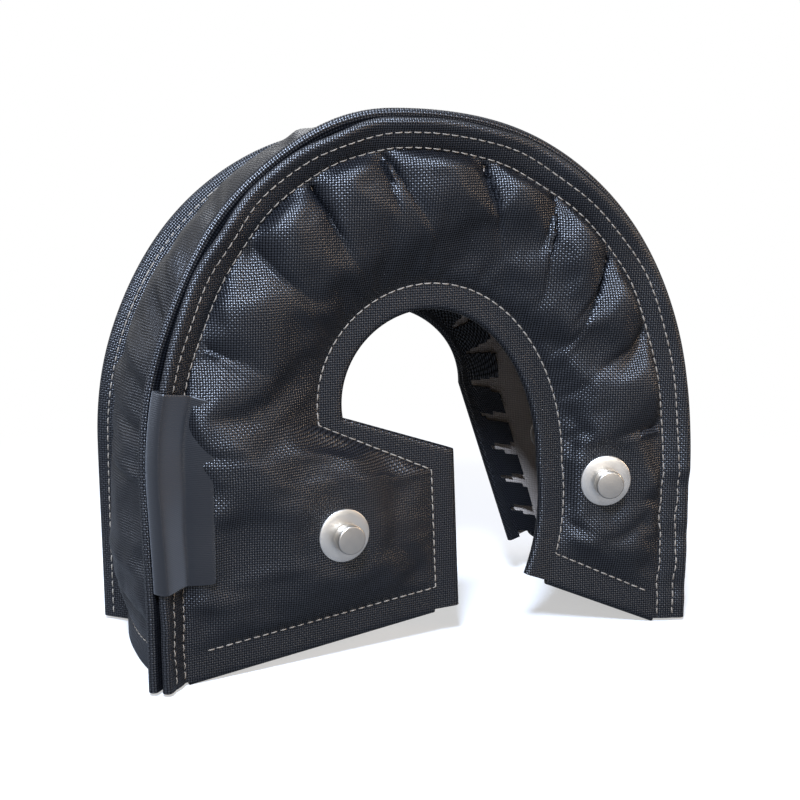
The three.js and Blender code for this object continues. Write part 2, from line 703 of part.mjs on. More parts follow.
function gussetLining(rib) {
  const side = (end, along) => sidePoint(rib[end], along, LAYER);
  const pad = GUSSET_ROWS.map((share) => gussetLiningPoint(rib, share));
  const tip = GUSSET_FLANGE - LAYER - LINING;
  return [side('front', tip), side('front', -LINING_DROP), ...pad, side('rear', -LINING_DROP), side('rear', tip)];
}

function gussetLiningPoint(rib, share) {
  return acrossGusset(rib, share, -LINING_DROP, LAYER, -LINING_PUFF * pillow(share) * rib.runOut);
}

function gussetBatting(ribs) {
  const shift = (rib, point, distance) => {
    const out = rib.front.out.clone().lerp(rib.rear.out, 0.5).normalize();
    return point.add(new THREE.Vector3(out.x * distance, 0, out.y * distance));
  };
  const padded = ribs.slice(1, -1);
  const outer = padded.map((rib) => GUSSET_ROWS.map((share) => (
    shift(rib, acrossGusset(rib, share, 0, TURNED, GUSSET_PUFF * pillow(share) * rib.runOut),
      -CLOTH / 2 - BATTING_CLEARANCE))));
  const inner = padded.map((rib) => GUSSET_ROWS.map((share) => (
    shift(rib, gussetLiningPoint(rib, share), LINING / 2 + SEAT_GAP))));
  return shellGeometry(outer, inner);
}

function addGusset() {
  const ribs = gussetRibs();
  const rows = gussetRows();
  const kinds = rows.map((row) => row.kind);
  const firstPad = kinds.indexOf('pillow');
  const lastPad = kinds.lastIndexOf('pillow');
  const hemStations = FOLD_TURNS.length;
  const isCut = (i, j) => {
    const station = i - hemStations;
    const inFoot = station < 0 || station >= ribs.length - 1;
    return inFoot && (j < firstPad || j >= lastPad);
  };
  addPiece('gusset_outer_cloth', clothSolid(clothGrid(rows, ribs), CLOTH, isCut), clothMaterial);
  addPiece('gusset_lining', clothSolid(raisedEnds(ribs.map(gussetLining)), LINING), liningMaterial);
  addPiece('gusset_batting', gussetBatting(ribs), battingMaterial);
}

// Stitch rows: a flat thread laid along a line of places on the outer face

function threadSolid(line) {
  const faces = [THREAD_HEIGHT, 0].map((lift) => line.map((place) => [-0.5, 0.5].map((side) => (
    place(side * THREAD_WIDTH, CLOTH / 2 + SEAT_GAP + lift)))));
  return shellGeometry(faces[0], faces[1]);
}

function rimThread(panel, fromEdge) {
  const along = PANEL_FLANGE - fromEdge;
  return threadSolid(panel.ribs.map((rib) => (side, lift) => flangePoint(panel, rib, along + side, -lift)));
}

function edgeThread(panel) {
  const { ribs } = panel;
  const last = ribs.length - 1;
  const footLine = (index, footIndex) => PILLOW_ROWS.slice(1, -1).map((share) => {
    const rib = ribs[index];
    const flat = rib.rim.clone().lerp(rib.stitch, share);
    const down = ribs[footIndex].rim.clone().lerp(ribs[footIndex].stitch, share).sub(flat).normalize();
    return { flat: flat.addScaledVector(down, THREAD_SET_OFF), depth: -rib.drawnIn * share };
  });
  const besideHem = (rib) => ({
    flat: rib.stitch.clone().addScaledVector(rib.edgeOut, THREAD_SET_OFF),
    depth: -rib.drawnIn,
  });
  const corner = (index, footIndex) => {
    const place = besideHem(ribs[index]);
    const down = ribs[footIndex].stitch.clone().sub(ribs[index].stitch).normalize();
    return { flat: place.flat.addScaledVector(down, THREAD_SET_OFF), depth: place.depth };
  };
  const places = [
    ...footLine(1, 0),
    corner(1, 0),
    ...ribs.slice(2, -2).map(besideHem),
    corner(last - 1, last),
    ...footLine(last - 1, last).reverse(),
  ];
  const flats = places.map((place) => place.flat);
  return threadSolid(places.map((place, index) => (side, lift) => (
    panelPoint(panel, place.flat.clone().addScaledVector(mitre(flats, index), side), place.depth + lift))));
}

function gussetHemThread(ribs, index) {
  const rib = ribs[index];
  const foot = ribs[index === 1 ? 0 : ribs.length - 1];
  return threadSolid(GUSSET_ROWS.map((share) => (side, lift) => {
    const point = gussetFace(rib, share, -lift);
    const down = gussetFace(foot, share, -lift).sub(point).normalize();
    return point.addScaledVector(down, side + THREAD_SET_OFF);
  }));
}

function addStitching() {
  [['front', frontPanel], ['rear', rearPanel]].forEach(([name, panel]) => {
    addPiece(`${name}_rim_stitch_outer`, rimThread(panel, OUTER_ROW), threadMaterial);
    addPiece(`${name}_rim_stitch_inner`, rimThread(panel, INNER_ROW), threadMaterial);
    addPiece(`${name}_edge_stitch`, edgeThread(panel), threadMaterial);
  });
  const ribs = gussetRibs();
  addPiece('gusset_hem_stitch_left', gussetHemThread(ribs, 1), threadMaterial);
  addPiece('gusset_hem_stitch_right', gussetHemThread(ribs, ribs.length - 2), threadMaterial);
}

// Lacing anchors

function turnedRing({ radius, thickness, bore, bevel }) {
  const profile = [
    [bore, 0], [radius - bevel, 0], [radius, bevel], [radius, thickness - bevel],
    [radius - bevel, thickness], [bore, thickness], [bore, 0],
  ];
  return new THREE.LatheGeometry(profile.map(([r, y]) => new THREE.Vector2(r, y)), ANCHOR_SIDES);
}

function capstanGeometry(reach) {
  const base = WASHER.thickness + SEAT_GAP;
  const top = base + CAPSTAN.height;
  const profile = [
    [0, -reach], [SHANK_RADIUS, -reach], [SHANK_RADIUS, base], [CAPSTAN.waist, base],
    [CAPSTAN.waist, base + CAPSTAN.foot], [CAPSTAN.radius, base + CAPSTAN.foot + CAPSTAN.round],
    [CAPSTAN.radius, top - CAPSTAN.round], [CAPSTAN.radius - CAPSTAN.round, top], [0, top],
  ];
  return new THREE.LatheGeometry(profile.map(([r, y]) => new THREE.Vector2(r, y)), ANCHOR_SIDES);
}

function addAnchors(panel) {
  const seat = CLOTH / 2 + SEAT_GAP;
  panel.anchors.forEach((anchor) => {
    const pinched = (anchor.outer - anchor.lining) * Math.cos(anchor.turn);
    const through = pinched + LINING / 2 + SEAT_GAP + LOCK_WASHER.thickness;
    const reach = seat + through + SHANK_END;
    const frame = new THREE.Group();
    frame.applyMatrix4(anchorFrame(panel, anchor));
    blanket.add(frame);
    const washer = addPiece(`${anchor.name}_washer`, turnedRing(WASHER), steelMaterial, frame);
    washer.position.y = seat;
    const capstan = addPiece(`${anchor.name}_capstan`, capstanGeometry(reach), steelMaterial, frame);
    capstan.position.y = seat;
    const lock = addPiece(`${anchor.name}_lock_washer`, turnedRing(LOCK_WASHER), steelMaterial, frame);
    lock.position.y = -through;
  });
}

// Label

function rimAtHeight(arch, height) {
  let low = 0;
  let high = 2;
  for (let i = 0; i < RIM_HALVINGS; i += 1) {
    const middle = (low + high) / 2;
    if (archPoint(arch, middle).y < height) low = middle;
    else high = middle;
  }
  return low;
}

function labelSolid(panel) {
  const inGap = TURNED + (CLOTH + FRONT_SEAM_GAP) / 2;
  const round = PANEL_FLANGE + CLOTH / 2 + SEAT_GAP + LABEL_THICKNESS / 2;
  const times = LABEL_STATIONS.map((share) => (
    rimAtHeight(FRONT_ARCH, LABEL_FOOT + LABEL_LENGTH * share)));
  const grid = times.map((t) => {
    const rib = ribAt(panel, t);
    return [
      flangePoint(panel, rib, PANEL_FLANGE - LABEL_CAUGHT, inGap),
      flangePoint(panel, rib, round, inGap),
      flangePoint(panel, rib, round, -LABEL_STAND_OFF),
      flangePoint(panel, rib, LABEL_CREASE_ROW, -LABEL_STAND_OFF),
      ...LABEL_PAD_ROWS.map((share) => labelOnPad(panel, rib, LABEL_REACH * share)),
    ];
  });
  const faces = offsetFaces(grid, LABEL_THICKNESS);
  return shellGeometry(faces[0], faces[1]);
}

function ribAt(panel, t) {
  const after = panel.ribs.findIndex((rib) => rib.t >= t);
  const from = panel.ribs[after - 1];
  const to = panel.ribs[after];
  const share = (t - from.t) / (to.t - from.t);
  const mix = (key) => from[key].clone().lerp(to[key], share);
  return {
    ...from,
    t,
    rim: mix('rim'),
    out: mix('out').normalize(),
    stitch: mix('stitch'),
    lean: THREE.MathUtils.lerp(from.lean, to.lean, share),
    runOut: THREE.MathUtils.lerp(from.runOut, to.runOut, share),
    drawnIn: THREE.MathUtils.lerp(from.drawnIn, to.drawnIn, share),
  };
}

function labelOnPad(panel, rib, reach) {
  const share = reach / rib.rim.distanceTo(rib.stitch);
  const place = facetDepth(panel, rib, share, outerDepth);
  return panelPoint(panel, place.flat, place.depth + LABEL_STAND_OFF);
}

const frontPanel = makePanel({
  face: FRONT, arch: FRONT_ARCH, lean: FRONT_LEAN, seamGap: FRONT_SEAM_GAP, edge: frontEdge(),
  steps: FRONT_STEPS, puff: FRONT_PUFF, drawnIn: FRONT_DRAWN_IN, gathers: FRONT_GATHERS, anchors: FRONT_ANCHORS,
});
const rearPanel = makePanel({
  face: REAR, arch: REAR_ARCH, lean: REAR_LEAN, seamGap: REAR_SEAM_GAP, edge: rearEdge(),
  steps: REAR_STEPS, puff: REAR_PUFF, drawnIn: REAR_DRAWN_IN, gathers: REAR_GATHERS, anchors: REAR_ANCHORS,
});

addPanel('front', frontPanel);
addPanel('rear', rearPanel);
addGusset();
addStitching();
addAnchors(frontPanel);
addAnchors(rearPanel);
addPiece('label_loop', labelSolid(frontPanel), satinMaterial);

// The origin is the bottom centre of the standing blanket
const extent = new THREE.Box3().setFromObject(blanket, true);
const middle = extent.getCenter(new THREE.Vector3());
blanket.position.set(-middle.x, -middle.y, -extent.min.z);
blanket.updateMatrixWorld(true);

export default blanket;
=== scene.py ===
"""Looks of a turbo heat blanket: black coated glass cloth, tan linings, stitching, lacing anchors and a label.

Sizes are in millimetres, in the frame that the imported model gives, and MM turns them to Blender's metres. The
cloths are grids over the same seam lines and cut-outs as the part's source, finer and with their gathers.
"""

import json
import logging
import math
import random
from dataclasses import dataclass
from enum import Enum
from typing import Callable

import bpy
import numpy as np
from mathutils import Matrix, Vector


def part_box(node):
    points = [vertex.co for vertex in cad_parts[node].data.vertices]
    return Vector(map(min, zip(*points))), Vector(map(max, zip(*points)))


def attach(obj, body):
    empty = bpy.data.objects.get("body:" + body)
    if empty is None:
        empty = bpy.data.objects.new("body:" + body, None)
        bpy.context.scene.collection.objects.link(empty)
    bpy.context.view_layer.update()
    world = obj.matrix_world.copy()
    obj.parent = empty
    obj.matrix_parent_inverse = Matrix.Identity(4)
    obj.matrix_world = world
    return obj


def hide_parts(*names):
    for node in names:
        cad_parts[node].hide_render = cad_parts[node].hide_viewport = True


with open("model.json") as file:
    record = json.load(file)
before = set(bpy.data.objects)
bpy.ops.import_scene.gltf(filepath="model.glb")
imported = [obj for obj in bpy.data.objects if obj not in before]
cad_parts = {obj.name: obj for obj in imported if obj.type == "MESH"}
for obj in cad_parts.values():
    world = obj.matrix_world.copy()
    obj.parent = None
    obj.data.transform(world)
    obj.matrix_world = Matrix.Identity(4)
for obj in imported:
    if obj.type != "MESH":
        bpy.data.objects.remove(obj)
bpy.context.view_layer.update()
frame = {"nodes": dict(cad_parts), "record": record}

LOG = logging.getLogger("heat_blanket")
MM = 0.001

# How far the part's source moves the blanket to bring its bottom centre to the origin
SOURCE_SHIFT = (2.897, 0.454, -0.5)

# Cloth, lining and seam sizes, as in the part's source
CLOTH = 1.1
LINING = 0.9
LAYER_GAP = 0.5
LAYER = (CLOTH + LINING) / 2 + LAYER_GAP
TURNED = 2 * LAYER
SEAT = LAYER + CLOTH / 2
PANEL_FLANGE = 13.0
GUSSET_FLANGE = 14.0
TURN_IN = 10.0
HEM = 11.0
TAB_ROOT = 5.0
TAB_LENGTH = 18.0
TAB_LIFT = 1.6
LINING_DROP = 2.2
GUSSET_WIDTH = 84.0
PUFF_RUN_OUT = 45.0
PUFF_FULL_WIDTH = 80.0
GUSSET_FOOT_PUFF = 0.6
LINING_ROWS = 27
LINING_RAISED = 1.1
TAB_STEPS = 6

# Angle of each row round a folded edge. A foot hem's stations add how far the strip has run back.
FOLD_ANGLES = (180, 150, 120, 90, 60, 30)
FOOT_TURNS = ((30, 0.0), (60, 0.0), (90, 0.0), (120, 0.0), (150, 0.0), (180, 0.0), (180, 0.4), (180, 0.8))

# Lengths over which a shape fades: at a joint of the cut-out, from a seam, above a foot and round a seat
JOINT_BLEND = 14.0
SEAM_FADE = 9.0
FOOT_FADE = 14.0
SEAT_HELD = 11.5
SEAT_FREE = 20.0

# Stitching
OUTER_ROW = 5.0
INNER_ROW = 12.0
STITCH_PITCH = 3.9
STITCH_LENGTH = 3.4
THREAD = 0.6
THREAD_SIDES = 6
PITCH_SCATTER = 0.15
SWAY = 0.16
RIM_TIMES = np.linspace(0.02, 3.98, 420)

# Rings of one stitch: share of its length, share of the thread's thickness, and lift off the cloth
STITCH_STOPS = ((-0.5, 0.45, -0.25), (-0.36, 0.85, 0.12), (0.0, 1.0, 0.34), (0.36, 0.85, 0.12),
                (0.5, 0.45, -0.25))

# Lacing anchors, measured from the top face of the post
WASHER_RADIUS = 11.0
WASHER_THICKNESS = 1.2
WASHER_BORE = 2.2
POST_RADIUS = 6.0
POST_WAIST = 5.3
POST_HEIGHT = 6.5
SEAT_GAP = 0.4
LOCK_RADIUS = 8.0
SHANK_RADIUS = 1.75


@dataclass(frozen=True)
class Cut:
    """Flat size of a panel's cloth and lining, each with the area that its cut-out leaves."""

    cloth: tuple[float, float]
    cloth_area: float
    lining: tuple[float, float]
    lining_area: float


FRONT_CUT = Cut((0.266, 0.250), 0.050, (0.236, 0.222), 0.035)
REAR_CUT = Cut((0.268, 0.237), 0.040, (0.238, 0.209), 0.0276)


class Side(Enum):
    """Which way a panel faces along Y."""

    FRONT = -1
    REAR = 1


class Held(Enum):
    """How a cloth was brought to its shape."""

    STRETCHED = "stretched"
    GATHERED = "gathered"
    FOLDED = "folded"


def lerp(start: float | np.ndarray, end: float | np.ndarray, share: float) -> float | np.ndarray:
    """Returns the value a share of the way from start to end."""
    return start + (end - start) * share


def smooth_ramp(value: float, start: float, end: float) -> float:
    """Returns 0 below start, 1 above end and a smooth rise between them."""
    x = min(max((value - start) / (end - start), 0.0), 1.0)
    return x * x * (3 - 2 * x)


def unit(vector: np.ndarray) -> np.ndarray:
    """Returns the vector at length 1."""
    return vector / max(float(np.linalg.norm(vector)), 1e-12)


def linear(hex_colour: str) -> tuple[float, float, float, float]:
    """Turns an sRGB hex colour into the linear colour that a shader socket takes.

    Args:
        hex_colour: six hex digits, such as "1b1d20".

    Returns:
        Linear red, green, blue and an alpha of 1.
    """
    channels = [int(hex_colour[i:i + 2], 16) / 255 for i in (0, 2, 4)]
    return (*[c / 12.92 if c <= 0.04045 else ((c + 0.055) / 1.055) ** 2.4 for c in channels], 1.0)


# Seam lines and cut-outs


@dataclass(frozen=True)
class RimArch:
    """Seam line of a rim: two straight sides, and two shoulders that meet at the crown."""

    left: float
    right: float
    apex: float
    top: float
    left_spring: float
    right_spring: float
    left_round: float
    right_round: float

    def point(self, t: float) -> np.ndarray:
        """Returns the place (x, z) at t: 0 at the left foot, 2 at the crown, 4 at the right foot."""
        if t <= 1:
            return np.array([self.left, lerp(SEAT, self.left_spring, t)])
        if t >= 3:
            return np.array([self.right, lerp(self.right_spring, SEAT, t - 3)])
        is_left = t <= 2
        spring = self.left_spring if is_left else self.right_spring
        foot = self.left if is_left else self.right
        power = 2 / (self.left_round if is_left else self.right_round)
        angle = (t - 1 if is_left else 3 - t) * math.pi / 2
        across = (foot - self.apex) * math.cos(angle) ** power if angle < math.pi / 2 else 0.0
        return np.array([self.apex + across, spring + (self.top - spring) * math.sin(angle) ** power])

    def outward(self, t: float) -> np.ndarray:
        """Returns the unit vector out of the rim at t."""
        step = 0.02
        along = self.point(min(t + step, 4.0)) - self.point(max(t - step, 0.0))
        return unit(np.array([-along[1], along[0]]))


@dataclass(frozen=True)
class Lean:
    """Lean of a rim's flange away from straight out, in degrees."""

    left: float
    crown: float
    right: float

    def at(self, t: float) -> float:
        """Returns the lean at t in radians."""
        to_crown = lerp(self.left, self.crown, smooth_ramp(t, 0.3, 1.6))
        return math.radians(lerp(to_crown, self.right, smooth_ramp(t, 2.0, 3.0)))


class Stretch:
    """One stretch of a cut-out's edge, read by its share of length."""

    def __init__(self, points: list[np.ndarray], is_straight: bool) -> None:
        """Measures the stretch.

        Args:
            points: places along it.
            is_straight: True for a straight stretch, whose hem runs from corner to corner.
        """
        self.points = np.array(points)
        self.is_straight = is_straight
        steps = np.linalg.norm(np.diff(self.points, axis=0), axis=1)
        self.lengths = np.concatenate([[0.0], np.cumsum(steps)])

    @property
    def length(self) -> float:
        """Length of the stretch."""
        return float(self.lengths[-1])

    def at(self, share: float) -> np.ndarray:
        """Returns the place at a share of the length."""
        along = share * self.length
        return np.array([np.interp(along, self.lengths, self.points[:, k]) for k in (0, 1)])

    def out(self, share: float) -> np.ndarray:
        """Returns the unit vector from the cloth into the cut-out."""
        step = 0.01
        along = self.at(min(share + step, 1.0)) - self.at(max(share - step, 0.0))
        return unit(np.array([along[1], -along[0]]))


def line(start: tuple[float, float], end: tuple[float, float]) -> Stretch:
    """Returns a straight stretch."""
    return Stretch([np.array(start), np.array(end)], True)


def arc(centre: tuple[float, float], half_width: float, rise: float, start: float, end: float) -> Stretch:
    """Returns a stretch of an ellipse.

    Args:
        centre: its centre (x, z).
        half_width: its half axis along x.
        rise: its half axis along z.
        start: angle it starts at, in degrees.
        end: angle it ends at, in degrees.

    Returns:
        The stretch.
    """
    angles = np.radians(np.linspace(start, end, 121))
    return Stretch([np.array([centre[0] + half_width * math.cos(a), centre[1] + rise * math.sin(a)])
                    for a in angles], False)


def bend(start: tuple[float, float], middle: tuple[float, float], end: tuple[float, float]) -> Stretch:
    """Returns a quadratic bend from start to end, pulled towards middle."""
    a, b, c = (np.array(p) for p in (start, middle, end))
    return Stretch([(1 - s) ** 2 * a + 2 * s * (1 - s) * b + s * s * c for s in np.linspace(0, 1, 61)], False)


@dataclass(frozen=True)
class Gather:
    """One scallop that the gathered rim seam throws into the cloth, with a sharp fold at either side."""

    at: float
    height: float
    width: float
    reach: float = 0.6
    slant: float = 0.0

    def height_at(self, t: float, share: float) -> float:
        """Returns its height at t along the rim and a share of the way to the hem."""
        off = (t - self.at - self.slant * share) / self.width
        if abs(off) >= 1 or share >= self.reach:
            return 0.0
        rise = 1 - (1 - min(share / 0.12, 1.0)) ** 2
        fade = (1 - share / self.reach) ** 1.4
        return self.height * (1.7 * math.cos(off * math.pi / 2) - 0.7) * rise * fade


@dataclass(frozen=True)
class Rib:
    """What a panel is like at one place along its rim."""

    t: float
    rim: np.ndarray
    out: np.ndarray
    lean: float
    edge: np.ndarray
    edge_out: np.ndarray
    stitch: np.ndarray
    drawn_in: float
    run_out: float

    def flat(self, share: float) -> np.ndarray:
        """Returns the flat place a share of the way from the rim seam to the hem's stitch line."""
        return lerp(self.rim, self.stitch, share)


def pillow(share: float) -> float:
    """Returns the crowned profile of the padding across its width."""
    return 1 - abs(2 * share - 1) ** 2.5


def end_run_out(height: float) -> float:
    """Returns how far the padding has risen at a height above the foot hem."""
    rise = min(max((height - SEAT - HEM) / PUFF_RUN_OUT, 0.0), 1.0)
    return 1 - (1 - rise) ** 3


@dataclass(frozen=True)
class Seat:
    """Flat seat that a lacing anchor pulls into the padding."""

    place: np.ndarray
    turn: float
    outer: float
    lining: float
    flat_radius: float = 12.0
    fade_radius: float = 25.0


class Panel:
    """One padded side of the blanket, described by ribs from its rim seam to its cut-out."""

    def __init__(self, side: Side, arch: RimArch, lean: Lean, seam_gap: float, edge: list[Stretch],
                 marks: list[float], puff: float, lining_puff: float, drawn_in: tuple[float, float],
                 gathers: list[Gather]) -> None:
        """Keeps the panel's sizes and matches its cut-out with its rim.

        Args:
            side: which way it faces.
            arch: its rim seam.
            lean: lean of its flange.
            seam_gap: gap between its flange and the gusset's.
            edge: stretches of its cut-out, from the left foot to the right foot.
            marks: places on the rim that the ends of the stretches are matched with.
            puff: how far its outer face stands off the plane of its seam.
            lining_puff: the same for its lining.
            drawn_in: how far the cut-out's edge lies inside that plane, at the left and the right foot.
            gathers: puckers under the rim seam.
        """
        self.side = side
        self.arch = arch
        self.lean = lean
        self.seam_gap = seam_gap
        self.edge = edge
        self.marks = marks
        self.puff = puff
        self.lining_puff = lining_puff
        self.drawn_in = drawn_in
        self.gathers = gathers
        self.seats: list[Seat] = []
        self.foot_t = HEM / (arch.left_spring - SEAT)
        self.last_t = 4 - HEM / (arch.right_spring - SEAT)

    def edge_place(self, t: float) -> tuple[int, float]:
        """Returns the stretch of the cut-out that t is matched with, and the share along it."""
        last = len(self.edge) - 1
        k = next((k for k in range(last) if t < self.marks[k + 1]), last)
        stops = [(self.marks[k], 0.0), (self.marks[k + 1], 1.0)]
        if k == 0:
            stops.insert(1, (self.foot_t, HEM / self.edge[0].length))
        if k == last:
            stops.insert(-1, (self.last_t, 1 - HEM / self.edge[last].length))
        return k, float(np.interp(t, [s[0] for s in stops], [s[1] for s in stops]))

    def hem_corner(self, k: int, at_end: bool) -> np.ndarray:
        """Returns the hem's stitch line at an end of a stretch: mitred between two straight ones."""
        this = self.edge[k]
        share = 1.0 if at_end else 0.0
        other = k + 1 if at_end else k - 1
        corner = this.at(share)
        out = this.out(share)
        if 0 <= other < len(self.edge):
            beside = self.edge[other].out(0.0 if at_end else 1.0)
            if self.edge[other].is_straight:
                return corner - (out + beside) / (1 + float(out @ beside)) * HEM
            return corner - beside * HEM
        return corner - out * HEM

    def stitch_at(self, k: int, share: float) -> np.ndarray:
        """Returns the place of the hem's stitch line."""
        this = self.edge[k]
        if this.is_straight:
            return lerp(self.hem_corner(k, False), self.hem_corner(k, True), share)
        out = this.out(share)
        for joint, other, other_share in ((0.0, k - 1, 1.0), (1.0, k + 1, 0.0)):
            if 0 <= other < len(self.edge) and not self.edge[other].is_straight:
                shared = unit(this.out(joint) + self.edge[other].out(other_share))
                near = 1 - smooth_ramp(abs(share - joint) * this.length, 0.0, JOINT_BLEND)
                out = unit(lerp(out, shared, near))
        return this.at(share) - out * HEM

    def rib(self, t: float) -> Rib:
        """Returns the rib at t."""
        k, share = self.edge_place(t)
        edge = self.edge[k].at(share)
        stitch = self.stitch_at(k, share)
        rim = self.arch.point(t)
        return Rib(t, rim, self.arch.outward(t), self.lean.at(t), edge, (edge - stitch) / HEM, stitch,
                   lerp(self.drawn_in[0], self.drawn_in[1], t / 4), end_run_out(rim[1]))

    def point(self, flat: np.ndarray, depth: float) -> np.ndarray:
        """Returns the place of a flat point at a depth out of the plane of the seams."""
        y = self.side.value * (GUSSET_WIDTH / 2 + depth)
        return np.array([flat[0], y, flat[1]]) + SOURCE_SHIFT

    def flange(self, rib: Rib, along: float, under: float) -> np.ndarray:
        """Returns a point of the rim flange: how far out along it, and how far under its outer face."""
        outward = along * math.cos(rib.lean) + under * math.sin(rib.lean)
        depth = along * math.sin(rib.lean) - under * math.cos(rib.lean)
        return self.point(rib.rim + rib.out * outward, depth)

    def swell(self, rib: Rib, share: float) -> float:
        """Returns the share of full puff at a place."""
        width = float(np.linalg.norm(rib.rim - rib.stitch))
        return pillow(share) * rib.run_out * min(width / PUFF_FULL_WIDTH, 1.0)

    def outer_depth(self, rib: Rib, share: float, with_gathers: bool = True) -> float:
        """Returns how far the outer cloth stands off at a place."""
        gathered = sum(g.height_at(rib.t, share) for g in self.gathers) if with_gathers else 0.0
        free = self.puff * self.swell(rib, share) + gathered - rib.drawn_in * share
        return self.seated(rib, share, free, "outer")

    def lining_depth(self, rib: Rib, share: float) -> float:
        """Returns how far the lining stands off at a place."""
        free = -LAYER - self.lining_puff * self.swell(rib, share) - rib.drawn_in * share
        return self.seated(rib, share, free, "lining")

    def seated(self, rib: Rib, share: float, depth: float, layer: str) -> float:
        """Returns a depth pulled to the seats of the lacing anchors near it, and left alone at the seams.

        Args:
            rib: the rib it is on.
            share: share of the way to the hem's stitch line.
            depth: the depth without any seat.
            layer: "outer" or "lining".

        Returns:
            The depth.
        """
        flat = rib.flat(share)
        from_seam = min(share, 1 - share) * float(np.linalg.norm(rib.rim - rib.stitch))
        for seat in self.seats:
            away = float(np.linalg.norm(flat - seat.place))
            near = 1 - smooth_ramp(away, seat.flat_radius, seat.fade_radius)
            weight = near * smooth_ramp(from_seam, 0.0, SEAM_FADE)
            level = getattr(seat, layer) - math.tan(seat.turn) * (flat[0] - seat.place[0])
            depth = lerp(depth, level, weight)
        return depth


def front_panel() -> Panel:
    """Returns the front panel: a lobe on the left, a keyhole above it and a narrow leg on the right."""
    arch = RimArch(-108, 102, -20, 209, 85, 72, 1.95, 2.2)
    lobe_foot, lobe_top = (14.0, 15.0), (10.5, 84.0)
    centre, radius = (-1.5, 107.5), 37.0
    shoulder, belly, foot = (48.5, 75.0), (52.0, 50.0), (43.0, 27.0)
    keyhole = arc(centre, radius, radius, 190, 90)
    start = tuple(keyhole.at(0.0))
    over = arc((centre[0], shoulder[1]), shoulder[0] - centre[0], centre[1] + radius - shoulder[1], 90, 0)
    edge = [line(lobe_foot, lobe_top), line(lobe_top, start), keyhole, over, bend(shoulder, belly, foot)]
    lobe_mark = (lobe_top[1] - SEAT) / (arch.left_spring - SEAT)
    gathers = [
        Gather(1.16, 2.4, 0.11, 0.5), Gather(1.40, 4.2, 0.12, 0.6), Gather(1.63, 6.0, 0.11, 0.7),
        Gather(1.85, 5.6, 0.11, 0.6, -0.05), Gather(2.07, 7.0, 0.11, 0.75, 0.1), Gather(2.27, 5.0, 0.09, 0.6),
        Gather(2.45, 7.0, 0.10, 0.8, 0.08), Gather(2.645, 6.4, 0.095, 0.7), Gather(2.84, 5.4, 0.10, 0.6),
        Gather(3.10, 2.4, 0.15, 0.5),
    ]
    return Panel(Side.FRONT, arch, Lean(48, 28, 16), 1.4, edge, [0, lobe_mark, 1.15, 2, 3, 4], 10, 4, (13, 7),
                 gathers)


def rear_panel() -> Panel:
    """Returns the rear panel: a wider horseshoe whose legs spread towards the floor."""
    arch = RimArch(-109, 103, -16, 196, 82, 72, 2.0, 2.1)
    centre, half_width, rise = (-3.0, 98.0), 42.0, 38.0
    spread, foot = 68.0, 20.0
    edge = [
        line((centre[0] - spread, foot), (centre[0] - half_width, centre[1])),
        arc(centre, half_width, rise, 180, 90),
        arc(centre, half_width, rise, 90, 0),
        line((centre[0] + half_width, centre[1]), (centre[0] + spread, foot)),
    ]
    gathers = [Gather(1.25, 3.0, 0.12), Gather(1.5, 3.6, 0.12, 0.7), Gather(1.75, 4.4, 0.13, 0.7),
               Gather(2.0, 4.0, 0.12, 0.7), Gather(2.25, 4.2, 0.13, 0.7), Gather(2.5, 4.4, 0.12, 0.7),
               Gather(2.75, 3.6, 0.12, 0.7)]
    return Panel(Side.REAR, arch, Lean(42, 24, 20), 0.4, edge, [0, 1.05, 2, 2.95, 4], 9, 4, (8, 8), gathers)


# Meshes


def deselect() -> None:
    """Leaves object mode and nothing selected."""
    if bpy.context.object and bpy.context.object.mode != "OBJECT":
        bpy.ops.object.mode_set(mode="OBJECT")
    bpy.ops.object.select_all(action="DESELECT")


def activate(piece: bpy.types.Object) -> None:
    """Makes a piece the only selected and active one."""
    deselect()
    piece.select_set(True)
    bpy.context.view_layer.objects.active = piece


def apply_modifier(piece: bpy.types.Object, kind: str, **settings: object) -> None:
    """Adds a modifier with its settings and applies it."""
    modifier = piece.modifiers.new(kind.title(), kind)
    for key, value in settings.items():
        setattr(modifier, key, value)
    activate(piece)
    bpy.ops.object.modifier_apply(modifier=modifier.name)


def smooth(piece: bpy.types.Object, degrees: float = 40) -> None:
    """Shades a piece smooth up to an edge angle."""
    activate(piece)
    bpy.ops.object.shade_smooth_by_angle(angle=math.radians(degrees))


def thicken(piece: bpy.types.Object, thickness: float, degrees: float = 40) -> None:
    """Gives a sheet its thickness, half to either side, and shades it smooth."""
    apply_modifier(piece, "SOLIDIFY", thickness=thickness * MM, offset=0.0)
    smooth(piece, degrees)


def new_piece(name: str, points: np.ndarray, faces: list[tuple[int, ...]],
              uvs: np.ndarray | None = None) -> bpy.types.Object:
    """Makes a mesh object from points in millimetres.

    Args:
        name: the piece's name.
        points: its vertices.
        faces: vertex numbers of each face.
        uvs: flat cloth coordinates of each vertex in metres, kept as the UV map "cloth".

    Returns:
        The new object, linked to the scene.
    """
    mesh = bpy.data.meshes.new(name)
    mesh.from_pydata((np.asarray(points) * MM).tolist(), [], faces)
    if uvs is not None:
        layer = mesh.uv_layers.new(name="cloth")
        corners = np.array([loop.vertex_index for loop in mesh.loops])
        layer.data.foreach_set("uv", np.asarray(uvs)[corners].astype(np.float32).ravel())
    mesh.update()
    piece = bpy.data.objects.new(name, mesh)
    bpy.context.scene.collection.objects.link(piece)
    return piece


